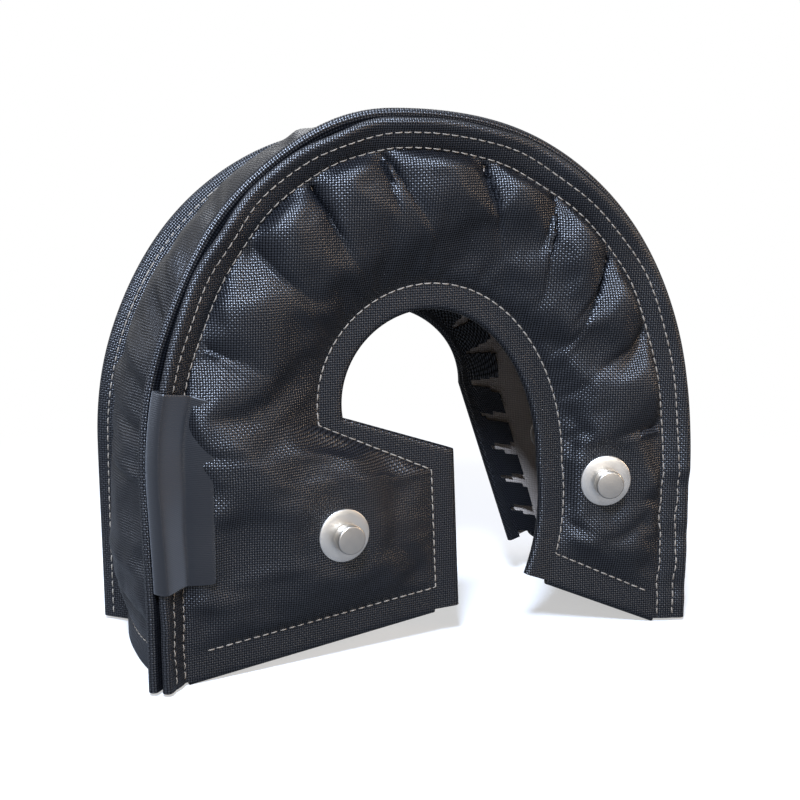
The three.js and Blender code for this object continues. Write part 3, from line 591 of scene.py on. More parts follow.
@dataclass
class ClothGrid:
    """A sheet as a grid of points, stations along it and rows across, with cells that may be cut away."""

    name: str
    points: np.ndarray
    flat: np.ndarray
    facing: np.ndarray
    is_cut: Callable[[int, int], bool]

    def build(self) -> bpy.types.Object:
        """Returns the sheet as one layer of faces that point along its facing."""
        stations, rows = self.points.shape[:2]
        cells = [(i, j) for i in range(stations - 1) for j in range(rows - 1) if not self.is_cut(i, j)]

        def corner(i: int, j: int) -> int:
            """Returns the number of a grid point."""
            return i * rows + j

        i, j = cells[len(cells) // 2]
        across = self.points[i, j + 1] - self.points[i, j]
        along = self.points[i + 1, j] - self.points[i, j]
        turn = float(np.cross(along, across) @ self.facing) < 0
        faces = []
        for i, j in cells:
            face = (corner(i, j), corner(i + 1, j), corner(i + 1, j + 1), corner(i, j + 1))
            faces.append(face[::-1] if turn else face)
        used = sorted({v for face in faces for v in face})
        number = {v: n for n, v in enumerate(used)}
        faces = [tuple(number[v] for v in face) for face in faces]
        points = self.points.reshape(-1, 3)[used]
        flat = self.flat.reshape(-1, 2)[used] * MM
        piece = new_piece(self.name, points, faces, flat)
        LOG.info("%s: %.4f square metres of cloth", self.name, sum(face.area for face in piece.data.polygons))
        return piece


@dataclass(frozen=True)
class Settling:
    """How Blender's cloth settles a sheet between its seams."""

    cap: float = 3.0
    swell: float = 0.035
    pressure: float = 4.0
    frames: int = 20

    def run(self, piece: bpy.types.Object, looseness: np.ndarray) -> np.ndarray:
        """Simulates a piece and returns how each vertex moved, in millimetres.

        Args:
            piece: a sheet of one layer, or a closed pad.
            looseness: 0 where it is sewn down, 1 where it is free, for each vertex.

        Returns:
            The capped moves.
        """
        group = piece.vertex_groups.new(name="sewn")
        for index, value in enumerate(looseness):
            group.add([index], float(1 - value), "REPLACE")
        modifier = piece.modifiers.new("Cloth", "CLOTH")
        cloth = modifier.settings
        cloth.quality = 5
        cloth.mass = 0.1
        cloth.tension_stiffness = 25
        cloth.compression_stiffness = 25
        cloth.shear_stiffness = 12
        cloth.bending_stiffness = 0.3
        cloth.vertex_group_mass = group.name
        cloth.shrink_min = -self.swell
        cloth.use_pressure = True
        cloth.uniform_pressure_force = self.pressure
        cloth.effector_weights.gravity = 0
        modifier.collision_settings.use_collision = False
        modifier.point_cache.frame_start = 1
        modifier.point_cache.frame_end = self.frames
        for number in range(1, self.frames + 1):
            bpy.context.scene.frame_set(number)
        settled = piece.evaluated_get(bpy.context.evaluated_depsgraph_get())
        before = np.array([vertex.co for vertex in piece.data.vertices]) / MM
        after = np.array([vertex.co for vertex in settled.data.vertices]) / MM
        piece.modifiers.remove(modifier)
        piece.vertex_groups.remove(group)
        bpy.context.scene.frame_set(1)
        move = after - before
        length = np.linalg.norm(move, axis=1)
        LOG.info("%s moved by up to %.2f mm, on average %.2f mm", piece.name, length.max(), length.mean())
        return move * np.minimum(1.0, self.cap / np.maximum(length, 1e-6))[:, None] * looseness[:, None]

    def grid(self, name: str, points: np.ndarray, loose: np.ndarray) -> np.ndarray:
        """Settles a grid of points through a copy with every second station and row.

        Args:
            name: what the cloth is called in the log.
            points: stations by rows of the sheet.
            loose: looseness of each point.

        Returns:
            The settled points.
        """
        stations, rows = (np.unique([*range(0, size, 2), size - 1]) for size in points.shape[:2])
        coarse = points[np.ix_(stations, rows)]
        facing = np.zeros(3)
        piece = ClothGrid(name, coarse, coarse[:, :, :2], facing, lambda i, j: False).build()
        move = self.run(piece, loose[np.ix_(stations, rows)].ravel()).reshape(*coarse.shape)
        mesh = piece.data
        bpy.data.objects.remove(piece)
        bpy.data.meshes.remove(mesh)
        every_station, every_row = (np.arange(size) for size in points.shape[:2])
        along = np.array([[np.interp(every_station, stations, move[:, j, k]) for j in range(len(rows))]
                          for k in range(3)])
        fine = np.array([[np.interp(every_row, rows, along[k, :, i]) for i in every_station]
                         for k in range(3)])
        fine = np.moveaxis(fine, 0, -1)
        for _ in range(2):
            for axis in (0, 1):
                fine = (np.roll(fine, 1, axis) + 2 * fine + np.roll(fine, -1, axis)) / 4
        return points + fine * np.minimum(loose * 2, 1.0)[:, :, None]


# Cloths of a panel


@dataclass(frozen=True)
class Row:
    """One row of a cloth, from rib to rib."""

    kind: str
    place: Callable[[Rib, float], np.ndarray]
    flat: Callable[[Rib], np.ndarray]


@dataclass
class PanelDress:
    """Builds the outer cloth and the lining of a panel."""

    panel: Panel
    name: str
    spacing: float = 1.7
    pad_rows: int = 34
    flange_rows: int = 10
    tab_pitch: float = 16.0
    tab_gap: float = 2.2
    tab_taper: float = 4.5
    wave: float = 1.1

    def times(self) -> list[float]:
        """Returns the stations along the rim, close enough for its gathers."""
        stops = [0.0, self.panel.foot_t, *self.panel.marks[1:-1], self.panel.last_t, 4.0]
        found: list[float] = []
        for start, end in zip(stops, stops[1:]):
            samples = [self.panel.rib(lerp(start, end, s)).rim for s in np.linspace(0.001, 0.999, 12)]
            length = float(np.linalg.norm(np.diff(samples, axis=0), axis=1).sum())
            count = max(round(length / self.spacing), 6)
            found += [lerp(start, end, i / count) for i in range(count)]
        return [*found, 4.0]

    def flange_wave(self, rib: Rib, along: float) -> float:
        """Returns how far the flange waves out of its plane, more towards its edge."""
        t = rib.t
        calm = smooth_ramp(t, 0.9, 1.3) * (1 - 0.6 * smooth_ramp(t, 2.9, 3.3)) + 0.15
        wave = math.sin(21 * t + 1.0) * 0.6 + math.sin(37 * t + 2.3) * 0.3 + math.sin(11 * t) * 0.5
        return self.wave * calm * wave * max(along, 0.0) / PANEL_FLANGE

    def stitch_dip(self, along: float) -> float:
        """Returns how far the two stitch rows press into the flange's face."""
        rows = (PANEL_FLANGE - OUTER_ROW, PANEL_FLANGE - INNER_ROW)
        return sum(0.3 * math.exp(-(((along - row) / 1.1) ** 2)) for row in rows)

    def outer_rows(self) -> list[Row]:
        """Returns the outer cloth's rows, from the strip turned into the rim to the tips of the tabs."""
        panel = self.panel

        def on_flange(along: float, under: float, unfolded: float, kind: str) -> Row:
            def place(rib: Rib, extra: float) -> np.ndarray:
                dip = self.stitch_dip(along) if under == 0 else 0.0
                return panel.flange(rib, along, under + extra + dip - self.flange_wave(rib, along))
            return Row(kind, place, lambda rib: rib.rim + rib.out * unfolded)

        def on_pad(share: float) -> Row:
            def place(rib: Rib, extra: float) -> np.ndarray:
                return panel.point(rib.flat(share), panel.outer_depth(rib, share) - extra)
            return Row("pad", place, lambda rib: rib.flat(share))

        def in_hem(inward: float, under: float, unfolded: float, kind: str) -> Row:
            def place(rib: Rib, extra: float) -> np.ndarray:
                return panel.point(rib.edge - rib.edge_out * inward, -rib.drawn_in - under - extra)
            return Row(kind, place, lambda rib: rib.edge + rib.edge_out * unfolded)

        bend_length = math.pi * LAYER
        rows = [on_flange(PANEL_FLANGE - TURN_IN, TURNED, PANEL_FLANGE + bend_length + TURN_IN, "rim")]
        for degrees in FOLD_ANGLES:
            angle = math.radians(degrees)
            rows.append(on_flange(PANEL_FLANGE + LAYER * (math.sin(angle) - 1), LAYER * (1 - math.cos(angle)),
                                  PANEL_FLANGE - LAYER + LAYER * angle, "rim"))
        for i in range(self.flange_rows):
            along = (PANEL_FLANGE - LAYER) * (1 - i / self.flange_rows)
            rows.append(on_flange(along, 0.0, along, "flange"))
        rows.append(on_flange(0.0, 0.0, 0.0, "crease"))
        for i in range(1, self.pad_rows):
            x = i / self.pad_rows
            rows.append(on_pad(lerp(x, 0.5 - 0.5 * math.cos(math.pi * x), 0.55)))
        for i in range(6):
            inward = lerp(HEM, LAYER, i / 5)
            rows.append(in_hem(inward, 0.0, -inward, "stitch" if i == 0 else "hem"))
        for degrees in FOLD_ANGLES[::-1]:
            angle = math.radians(degrees)
            rows.append(in_hem(LAYER * (1 - math.sin(angle)), LAYER * (1 - math.cos(angle)),
                               LAYER * (angle - 1), "fold"))
        for i in range(1, 3):
            inward = lerp(LAYER, TAB_ROOT, i / 2)
            rows.append(in_hem(inward, TURNED, bend_length + inward, "tab"))
        rows += [self.tab_row(i / TAB_STEPS) for i in range(1, TAB_STEPS + 1)]
        return rows

    def tab_row(self, share: float) -> Row:
        """Returns a row of the hem tabs, from their root at 0 to their tips at 1."""
        panel = self.panel
        inward = lerp(TAB_ROOT, TAB_LENGTH, share)

        def place(rib: Rib, _extra: float) -> np.ndarray:
            root = panel.point(rib.edge - rib.edge_out * TAB_ROOT, -rib.drawn_in - TURNED)
            across = float(np.linalg.norm(rib.rim - rib.stitch))
            tip_share = 1 - (TAB_LENGTH - HEM) / across
            depth = panel.lining_depth(rib, tip_share) - LAYER - TAB_LIFT
            return lerp(root, panel.point(rib.flat(tip_share), depth), share)

        return Row("tab" if share < 1 else "tip", place, lambda rib: rib.edge + rib.edge_out * (inward + 4))

    def outer_cloth(self) -> bpy.types.Object:
        """Builds the outer cloth with its gathers, folded edges, foot hems and notched tabs."""
        panel = self.panel
        ribs = [panel.rib(t) for t in self.times()]
        rows = self.outer_rows()
        kinds = [row.kind for row in rows]
        crease, stitch, tab = kinds.index("crease"), kinds.index("stitch"), kinds.index("tab")
        body = [[row.place(rib, 0.0) for row in rows] for rib in ribs]
        flat = [[row.flat(rib) for row in rows] for rib in ribs]
        first = self.foot_stations(rows, ribs[0], panel.rib(panel.foot_t))
        last = self.foot_stations(rows, ribs[-1], panel.rib(panel.last_t))
        points = np.array([*first[0][::-1], *body, *last[0]])
        flats = np.array([*first[1][::-1], *flat, *last[1]])
        extra = len(FOOT_TURNS)
        lengths = self.edge_lengths(ribs)
        end = len(ribs) - 1

        def is_cut(i: int, j: int) -> bool:
            station = i - extra
            if station < 0 or station >= end:
                return j <= crease or j >= stitch
            return j >= tab + 1 and self.in_notch(lengths[station], lengths[-1], (j - tab - 1) / TAB_STEPS)

        body_rows, padded = slice(extra, len(points) - extra), slice(crease, stitch + 1)
        loose = self.looseness(ribs, stitch - crease)
        points[body_rows, padded] = Settling().grid(f"{self.name}_field", points[body_rows, padded], loose)
        facing = np.array([0.0, panel.side.value, 0.0])
        piece = ClothGrid(f"{self.name}_cloth", points, flats, facing, is_cut).build()
        thicken(piece, CLOTH, 55)
        return piece

    def looseness(self, ribs: list[Rib], last_row: int) -> np.ndarray:
        """Returns how free each point of the padded field is, from 0 at its seams and seats to 1."""
        loose = np.zeros((len(ribs), last_row + 1))
        for i, rib in enumerate(ribs):
            up = smooth_ramp(rib.rim[1], SEAT + HEM, SEAT + HEM + FOOT_FADE)
            for row in range(1, last_row):
                flat = rib.flat(row / last_row)
                away = [float(np.linalg.norm(flat - seat.place)) for seat in self.panel.seats]
                off_seat = smooth_ramp(min(away, default=SEAT_FREE), SEAT_HELD, SEAT_FREE)
                loose[i, row] = min(min(row, last_row - row) / 4, 1.0) * up * off_seat
        return loose

    def foot_stations(self, rows: list[Row], foot: Rib, inner: Rib
                      ) -> tuple[list[list[np.ndarray]], list[list[np.ndarray]]]:
        """Returns the points and flat places of a foot hem, folded under from the foot line.

        Args:
            rows: rows of the cloth.
            foot: rib at the foot.
            inner: rib at the hem's stitch line.

        Returns:
            Two lists of stations, from the foot line to the strip's end.
        """
        points, flats = [], []
        for degrees, back in FOOT_TURNS:
            angle = math.radians(degrees)
            under = LAYER * (1 - math.cos(angle))
            station, flat = [], []
            for row in rows:
                low, high = row.place(foot, under), row.place(inner, under)
                down = (low - high) * np.array([1, 0, 1])
                station.append(lerp(low, high, back) + unit(down) * LAYER * math.sin(angle))
                flat_low, flat_high = row.flat(foot), row.flat(inner)
                flat.append(flat_low + unit(flat_low - flat_high) * (LAYER * angle + back * HEM))
            points.append(station)
            flats.append(flat)
        return points, flats

    def edge_lengths(self, ribs: list[Rib]) -> np.ndarray:
        """Returns the length along the hem's stitch line at each rib."""
        steps = [float(np.linalg.norm(b.stitch - a.stitch)) for a, b in zip(ribs, ribs[1:])]
        return np.concatenate([[0.0], np.cumsum(steps)])

    def in_notch(self, along: float, total: float, share: float) -> bool:
        """Returns True where the gap between two hem tabs is, wider towards their tips."""
        count = round(total / self.tab_pitch)
        pitch = total / count
        off = abs((along / pitch) % 1 - 0.5) * pitch
        return along < 4 or along > total - 4 or off > (pitch - self.tab_gap - self.tab_taper * share) / 2

    def lining(self) -> bpy.types.Object:
        """Builds the lining: flange strip, padded field and the strip under the hem."""
        panel = self.panel
        ribs = [panel.rib(t) for t in self.times()[::2]]
        shares = np.linspace(0, 1, LINING_ROWS)[1:]
        points, flats = [], []
        for index, rib in enumerate(ribs):
            raised = LINING_RAISED if index in (0, len(ribs) - 1) else 0.0
            strip = (PANEL_FLANGE - LAYER - LINING, -LINING_DROP)
            station = [panel.flange(rib, along, LAYER) for along in strip]
            flat = [rib.rim + rib.out * PANEL_FLANGE, rib.rim - rib.out * LINING_DROP]
            for share in shares:
                ripple = 0.25 * math.sin(rib.t * 61) * math.sin(share * math.pi)
                ripple *= math.sin(share * 9 + rib.t * 5)
                station.append(panel.point(rib.flat(share), panel.lining_depth(rib, share) - ripple))
                flat.append(rib.flat(share))
            end = rib.edge - rib.edge_out * (LAYER + LINING)
            station.append(panel.point(end, -LAYER - rib.drawn_in))
            flat.append(end)
            points.append([p + np.array([0, 0, raised]) for p in station])
            flats.append(flat)
        grid = ClothGrid(f"{self.name}_lining_cloth", np.array(points), np.array(flats),
                         np.array([0.0, -panel.side.value, 0.0]), lambda i, j: False)
        piece = grid.build()
        thicken(piece, LINING)
        return piece


# Gusset


@dataclass(frozen=True)
class BandFold:
    """A fold or crease across the gusset: place (t, share), direction, reach, width and height."""

    t: float
    share: float
    along_t: float
    along_share: float
    width: float
    height: float

    def height_at(self, t: float, share: float) -> float:
        """Returns its height at a place of the gusset."""
        length = math.hypot(self.along_t, self.along_share)
        ux, uy = self.along_t / length, self.along_share / length
        dx, dy = t - self.t, share - self.share
        along = (dx * ux + dy * uy) / length
        off = (-dx * uy + dy * ux) / self.width
        return self.height * math.exp(-off * off) * math.exp(-(along ** 4))


@dataclass
class GussetDress:
    """Builds the outer cloth and the lining of the gusset band."""

    front: Panel
    rear: Panel
    puff: float = 9.0
    lining_puff: float = 4.0
    spacing: float = 1.9
    pad_rows: int = 44
    folds: tuple[BandFold, ...] = (
        BandFold(1.30, 0.22, 0.05, 0.22, 0.022, -3.2),
        BandFold(1.22, 0.30, 0.04, 0.26, 0.025, 2.6),
        BandFold(1.40, 0.20, 0.05, 0.20, 0.025, 2.6),
        BandFold(1.08, 0.25, 0.03, 0.30, 0.02, -2.0),
        BandFold(1.00, 0.35, 0.03, 0.25, 0.03, 1.8),
        BandFold(1.55, 0.25, 0.05, 0.25, 0.03, -2.2),
        BandFold(1.80, 0.25, 0.04, 0.25, 0.03, 2.0),
        BandFold(2.20, 0.30, 0.04, 0.30, 0.03, -2.0),
        BandFold(2.50, 0.70, 0.04, 0.30, 0.03, 2.2),
        BandFold(2.80, 0.40, 0.03, 0.30, 0.03, -2.0),
        BandFold(1.20, 0.80, 0.04, 0.25, 0.03, 2.2),
        BandFold(1.50, 0.80, 0.04, 0.22, 0.03, -2.2),
        BandFold(1.95, 0.78, 0.04, 0.25, 0.03, 2.2),
        BandFold(0.26, 0.35, 0.05, 0.35, 0.035, -1.6),
        BandFold(0.12, 0.60, 0.03, 0.30, 0.025, -1.0),
        BandFold(0.55, 0.55, 0.02, 0.40, 0.05, 1.2),
    )

    def below(self, panel: Panel, layer: float) -> float:
        """Returns how far a layer of the gusset's flange lies under the panel's outer face."""
        return TURNED + CLOTH + panel.seam_gap + layer

    def side_point(self, panel: Panel, t: float, along: float, layer: float) -> np.ndarray:
        """Returns a point of the flange on one side."""
        return panel.flange(panel.rib(t), along, self.below(panel, layer))

    def across(self, t: float, share: float, along: float, layer: float, raised: float) -> np.ndarray:
        """Returns a point of the band between the two creases, raised outwards."""
        start = self.side_point(self.front, t, along, layer)
        end = self.side_point(self.rear, t, along, layer)
        out = unit(lerp(self.front.arch.outward(t), self.rear.arch.outward(t), share))
        return lerp(start, end, share) + np.array([out[0], 0.0, out[1]]) * raised

    def run_out(self, t: float) -> float:
        """Returns the share of full puff at t."""
        return lerp(GUSSET_FOOT_PUFF, 1.0, end_run_out(self.front.arch.point(t)[1]))

    def face(self, t: float, share: float, under: float) -> np.ndarray:
        """Returns a point of the band's outer cloth."""
        folds = sum(fold.height_at(t, share) for fold in self.folds) * math.sqrt(max(pillow(share), 0.0))
        return self.across(t, share, 0.0, TURNED, self.puff * pillow(share) * self.run_out(t) + folds - under)

    def times(self) -> list[float]:
        """Returns the stations along the band."""
        dress = PanelDress(self.front, "gusset", spacing=self.spacing)
        return dress.times()

    def outer_cloth(self) -> bpy.types.Object:
        """Builds the band's outer cloth with its two flanges and its foot hems."""
        times = self.times()

        def flange_row(panel: Panel, along: float, layer: float, flat: float
                       ) -> Callable[[float, float], tuple]:
            def place(t: float, _under: float) -> tuple[np.ndarray, float]:
                wave = 0.5 * math.sin(17 * t + 0.7) * max(along, 0.0) / GUSSET_FLANGE
                wave *= smooth_ramp(t, 0.9, 1.3)
                return self.side_point(panel, t, along, layer + wave), flat
            return place

        rows: list[Callable[[float, float], tuple]] = []
        kinds: list[str] = []
        width = GUSSET_WIDTH + 2 * self.puff
        for panel, sign in ((self.front, -1.0), (self.rear, 1.0)):
            side_rows = [flange_row(panel, GUSSET_FLANGE - TURN_IN, 0.0, GUSSET_FLANGE + TURN_IN)]
            for degrees in FOLD_ANGLES:
                angle = math.radians(degrees)
                along = GUSSET_FLANGE + LAYER * (math.sin(angle) - 1)
                side_rows.append(flange_row(panel, along, TURNED - LAYER * (1 - math.cos(angle)),
                                            GUSSET_FLANGE + LAYER * angle))
            for i in range(8):
                along = (GUSSET_FLANGE - LAYER) * (1 - i / 8)
                side_rows.append(flange_row(panel, along, TURNED, along))
            side_rows.append(flange_row(panel, 0.0, TURNED, 0.0))
            if sign < 0:
                rows += side_rows
                kinds += ["flange"] * (len(side_rows) - 1) + ["crease"]
                for i in range(1, self.pad_rows):
                    share = i / self.pad_rows
                    rows.append(lambda t, under, s=share: (self.face(t, s, under), s))
                    kinds.append("pad")
            else:
                rows += side_rows[::-1]
                kinds += ["crease"] + ["flange"] * (len(side_rows) - 1)
        first_pad, last_pad = kinds.index("pad"), len(kinds) - 1 - kinds[::-1].index("pad")
        points, flats = [], []
        along_length = 0.0
        for index, t in enumerate(times):
            if index:
                step = self.front.arch.point(t) - self.front.arch.point(times[index - 1])
                along_length += float(np.linalg.norm(step))
            station, flat = [], []
            for j, row in enumerate(rows):
                place, value = row(t, 0.0)
                station.append(place)
                across = value * width if kinds[j] == "pad" else (-value if j < first_pad else width + value)
                flat.append(np.array([along_length, across]))
            points.append(station)
            flats.append(flat)
        points, flats = self.with_feet(np.array(points), np.array(flats), rows, times)
        extra = (len(points) - len(times)) // 2

        def is_cut(i: int, j: int) -> bool:
            station = i - extra
            in_foot = station < 0 or station >= len(times) - 1
            return in_foot and (j < first_pad or j >= last_pad)

        body = slice(extra, len(points) - extra)
        padded = slice(first_pad - 1, last_pad + 2)
        field = points[body, padded]
        loose = np.zeros(field.shape[:2])
        last_row = field.shape[1] - 1
        for i, t in enumerate(times):
            height = self.front.arch.point(t)[1]
            up = smooth_ramp(height, SEAT + HEM, SEAT + HEM + FOOT_FADE)
            for row in range(1, last_row):
                loose[i, row] = min(min(row, last_row - row) / 4, 1.0) * up
        points[body, padded] = Settling().grid("gusset_field", field, loose)
        facing = points[len(points) // 2, len(rows) // 2] - np.array([0.0, 0.0, 100.0])
        piece = ClothGrid("gusset_cloth", points, flats, unit(facing), is_cut).build()
        thicken(piece, CLOTH, 55)
        return piece

    def with_feet(self, points: np.ndarray, flats: np.ndarray, rows: list, times: list[float]
                  ) -> tuple[np.ndarray, np.ndarray]:
        """Returns the grid with the foot hems added before and after it."""
        ends = []
        for foot_t, inner_t, foot_flat in ((times[0], self.front.foot_t, flats[0]),
                                           (times[-1], self.front.last_t, flats[-1])):
            stations, flat_stations = [], []
            sign = -1.0 if foot_t == times[0] else 1.0
            for degrees, back in FOOT_TURNS:
                angle = math.radians(degrees)
                under = LAYER * (1 - math.cos(angle))
                station = []
                for row in rows:
                    low, high = row(foot_t, under)[0], row(inner_t, under)[0]
                    down = unit((low - high) * np.array([1, 0, 1]))
                    station.append(lerp(low, high, back) + down * LAYER * math.sin(angle))
                stations.append(station)
                flat_stations.append(foot_flat + np.array([sign * (LAYER * angle + back * HEM), 0.0]))
            ends.append((stations, flat_stations))
        (first, first_flat), (last, last_flat) = ends
        return (np.array([*first[::-1], *points, *last]), np.array([*first_flat[::-1], *flats, *last_flat]))

    def lining(self) -> bpy.types.Object:
        """Builds the band's lining."""
        times = self.times()[::2]
        shares = np.linspace(0, 1, LINING_ROWS)
        tip = GUSSET_FLANGE - LAYER - LINING
        points, flats = [], []
        length = 0.0
        for index, t in enumerate(times):
            if index:
                step = self.front.arch.point(t) - self.front.arch.point(times[index - 1])
                length += float(np.linalg.norm(step))
            raised = LINING_RAISED if index in (0, len(times) - 1) else 0.0
            station = [self.side_point(self.front, t, tip, LAYER)]
            for share in shares:
                ripple = 0.3 * math.sin(47 * t) * math.sin(share * 7 + 3 * t) * pillow(share)
                lift = -self.lining_puff * pillow(share) * self.run_out(t) + ripple
                station.append(self.across(t, share, -LINING_DROP, LAYER, lift))
            station.append(self.side_point(self.rear, t, tip, LAYER))
            points.append([p + np.array([0, 0, raised]) for p in station])
            flats.append([np.array([length, s * GUSSET_WIDTH]) for s in [-0.15, *shares, 1.15]])
        points = np.array(points)
        facing = np.array([0.0, 0.0, 100.0]) - points[len(points) // 2, LINING_ROWS // 2 + 1]
        piece = ClothGrid("gusset_lining_cloth", points, np.array(flats), unit(facing),
                          lambda i, j: False).build()
        thicken(piece, LINING)
        return piece


# Stitching


@dataclass(frozen=True)
class StitchRow:
    """A row of lockstitches: thread that dives into the cloth at both ends of every stitch."""

    name: str
    line: np.ndarray
    normals: np.ndarray
    seed: int

    def build(self) -> bpy.types.Object:
        """Returns the row as one mesh, each stitch a closed lens of thread."""
        random.seed(self.seed)
        steps = np.linalg.norm(np.diff(self.line, axis=0), axis=1)
        lengths = np.concatenate([[0.0], np.cumsum(steps)])
        count = int(lengths[-1] / STITCH_PITCH)
        pitch = lengths[-1] / count
        sides = THREAD_SIDES
        points, faces = [], []

        def read(table: np.ndarray, s: float) -> np.ndarray:
            """Returns the table's value at a length along the row."""
            return np.array([np.interp(s, lengths, table[:, k]) for k in range(3)])

        for n in range(count):
            middle = (n + 0.5) * pitch + random.uniform(-PITCH_SCATTER, PITCH_SCATTER)
            sway = random.uniform(-SWAY, SWAY)
            length = STITCH_LENGTH * random.uniform(0.93, 1.05)
            base = len(points)
            for share, thick, lift in STITCH_STOPS:
                s = min(max(middle + share * length, 0.0), lengths[-1])
                place, normal = read(self.line, s), unit(read(self.normals, s))
                along = unit(read(self.line, min(s + 0.5, lengths[-1])) - read(self.line, max(s - 0.5, 0.0)))
                across = unit(np.cross(along, normal))
                centre = place + normal * lift + across * sway * share
                for k in range(sides):
                    angle = 2 * math.pi * k / sides
                    ring = across * math.cos(angle) * THREAD / 2 + normal * math.sin(angle) * THREAD * 0.36
                    points.append(centre + ring * thick)
            for ring in range(len(STITCH_STOPS) - 1):
                for k in range(sides):
                    a, b = base + ring * sides + k, base + ring * sides + (k + 1) % sides
                    faces.append((a, b, b + sides, a + sides))
            faces.append(tuple(base + k for k in range(sides))[::-1])
            faces.append(tuple(base + (len(STITCH_STOPS) - 1) * sides + k for k in range(sides)))
        piece = new_piece(self.name, np.array(points), faces)
        activate(piece)
        bpy.ops.object.mode_set(mode="EDIT")
        bpy.ops.mesh.select_all(action="SELECT")
        bpy.ops.mesh.normals_make_consistent(inside=False)
        bpy.ops.object.mode_set(mode="OBJECT")
        smooth(piece, 60)
        return piece


def rim_row(panel: Panel, from_edge: float, flange: PanelDress) -> tuple[np.ndarray, np.ndarray]:
    """Returns the line and normals of a stitch row on a rim flange.

    Args:
        panel: the panel it is on.
        from_edge: how far it lies from the flange's edge.
        flange: gives the flange's waves, which the thread follows.

    Returns:
        Points on the cloth's face, and the face's normals.
    """
    line_points, normals = [], []
    for t in RIM_TIMES:
        rib = panel.rib(float(t))
        along = PANEL_FLANGE - from_edge + 0.45 * math.sin(13 * t + from_edge) + 0.25 * math.sin(31 * t + 1.7)
        under = flange.stitch_dip(along) - flange.flange_wave(rib, along)
        here, above = (panel.flange(rib, along, under - CLOTH / 2 - lift) for lift in (0.0, 1.0))
        line_points.append(here)
        normals.append(above - here)
    return np.array(line_points), np.array(normals)


def hem_row(panel: Panel) -> tuple[np.ndarray, np.ndarray]:
    """Returns the line and normals of the stitch row that runs round the free edge of a panel."""
    points, normals = [], []
    out = np.array([0.0, panel.side.value, 0.0])
    foot_shares, last_shares = np.linspace(0.08, 0.97, 60), np.linspace(0.97, 0.1, 60)
    for foot_t, shares in ((panel.foot_t, foot_shares), (panel.last_t, last_shares)):
        rib = panel.rib(foot_t)
        points += [panel.point(rib.flat(s), panel.outer_depth(rib, s) + CLOTH / 2) for s in shares]
        if foot_t == panel.foot_t:
            for t in np.linspace(panel.foot_t, panel.last_t, 900):
                rib = panel.rib(float(t))
                points.append(panel.point(rib.stitch + rib.edge_out * 0.6, -rib.drawn_in + CLOTH / 2))
    return np.array(points), np.array([out] * len(points))


def gusset_rim_row(gusset: GussetDress, panel: Panel) -> tuple[np.ndarray, np.ndarray]:
    """Returns the line and normals of the stitch row on the gusset's side of a rim seam."""
    points, normals = [], []
    along = GUSSET_FLANGE - OUTER_ROW
    for t in RIM_TIMES:
        rib = panel.rib(float(t))
        below = gusset.below(panel, TURNED)
        here, above = (panel.flange(rib, along, below + CLOTH / 2 + lift) for lift in (0.0, 1.0))
        points.append(here)
        normals.append(above - here)
    return np.array(points), np.array(normals)


def gusset_hem_row(gusset: GussetDress, t: float) -> tuple[np.ndarray, np.ndarray]:
    """Returns the line and normals of the stitch row on a foot hem of the gusset."""
    points, normals = [], []
    out = gusset.front.arch.outward(t)
    for share in np.linspace(0.06, 0.94, 60):
        points.append(gusset.face(t, float(share), -CLOTH / 2))
        normals.append(np.array([out[0], 0.0, out[1]]))
    return np.array(points), np.array(normals)


# Lacing anchors


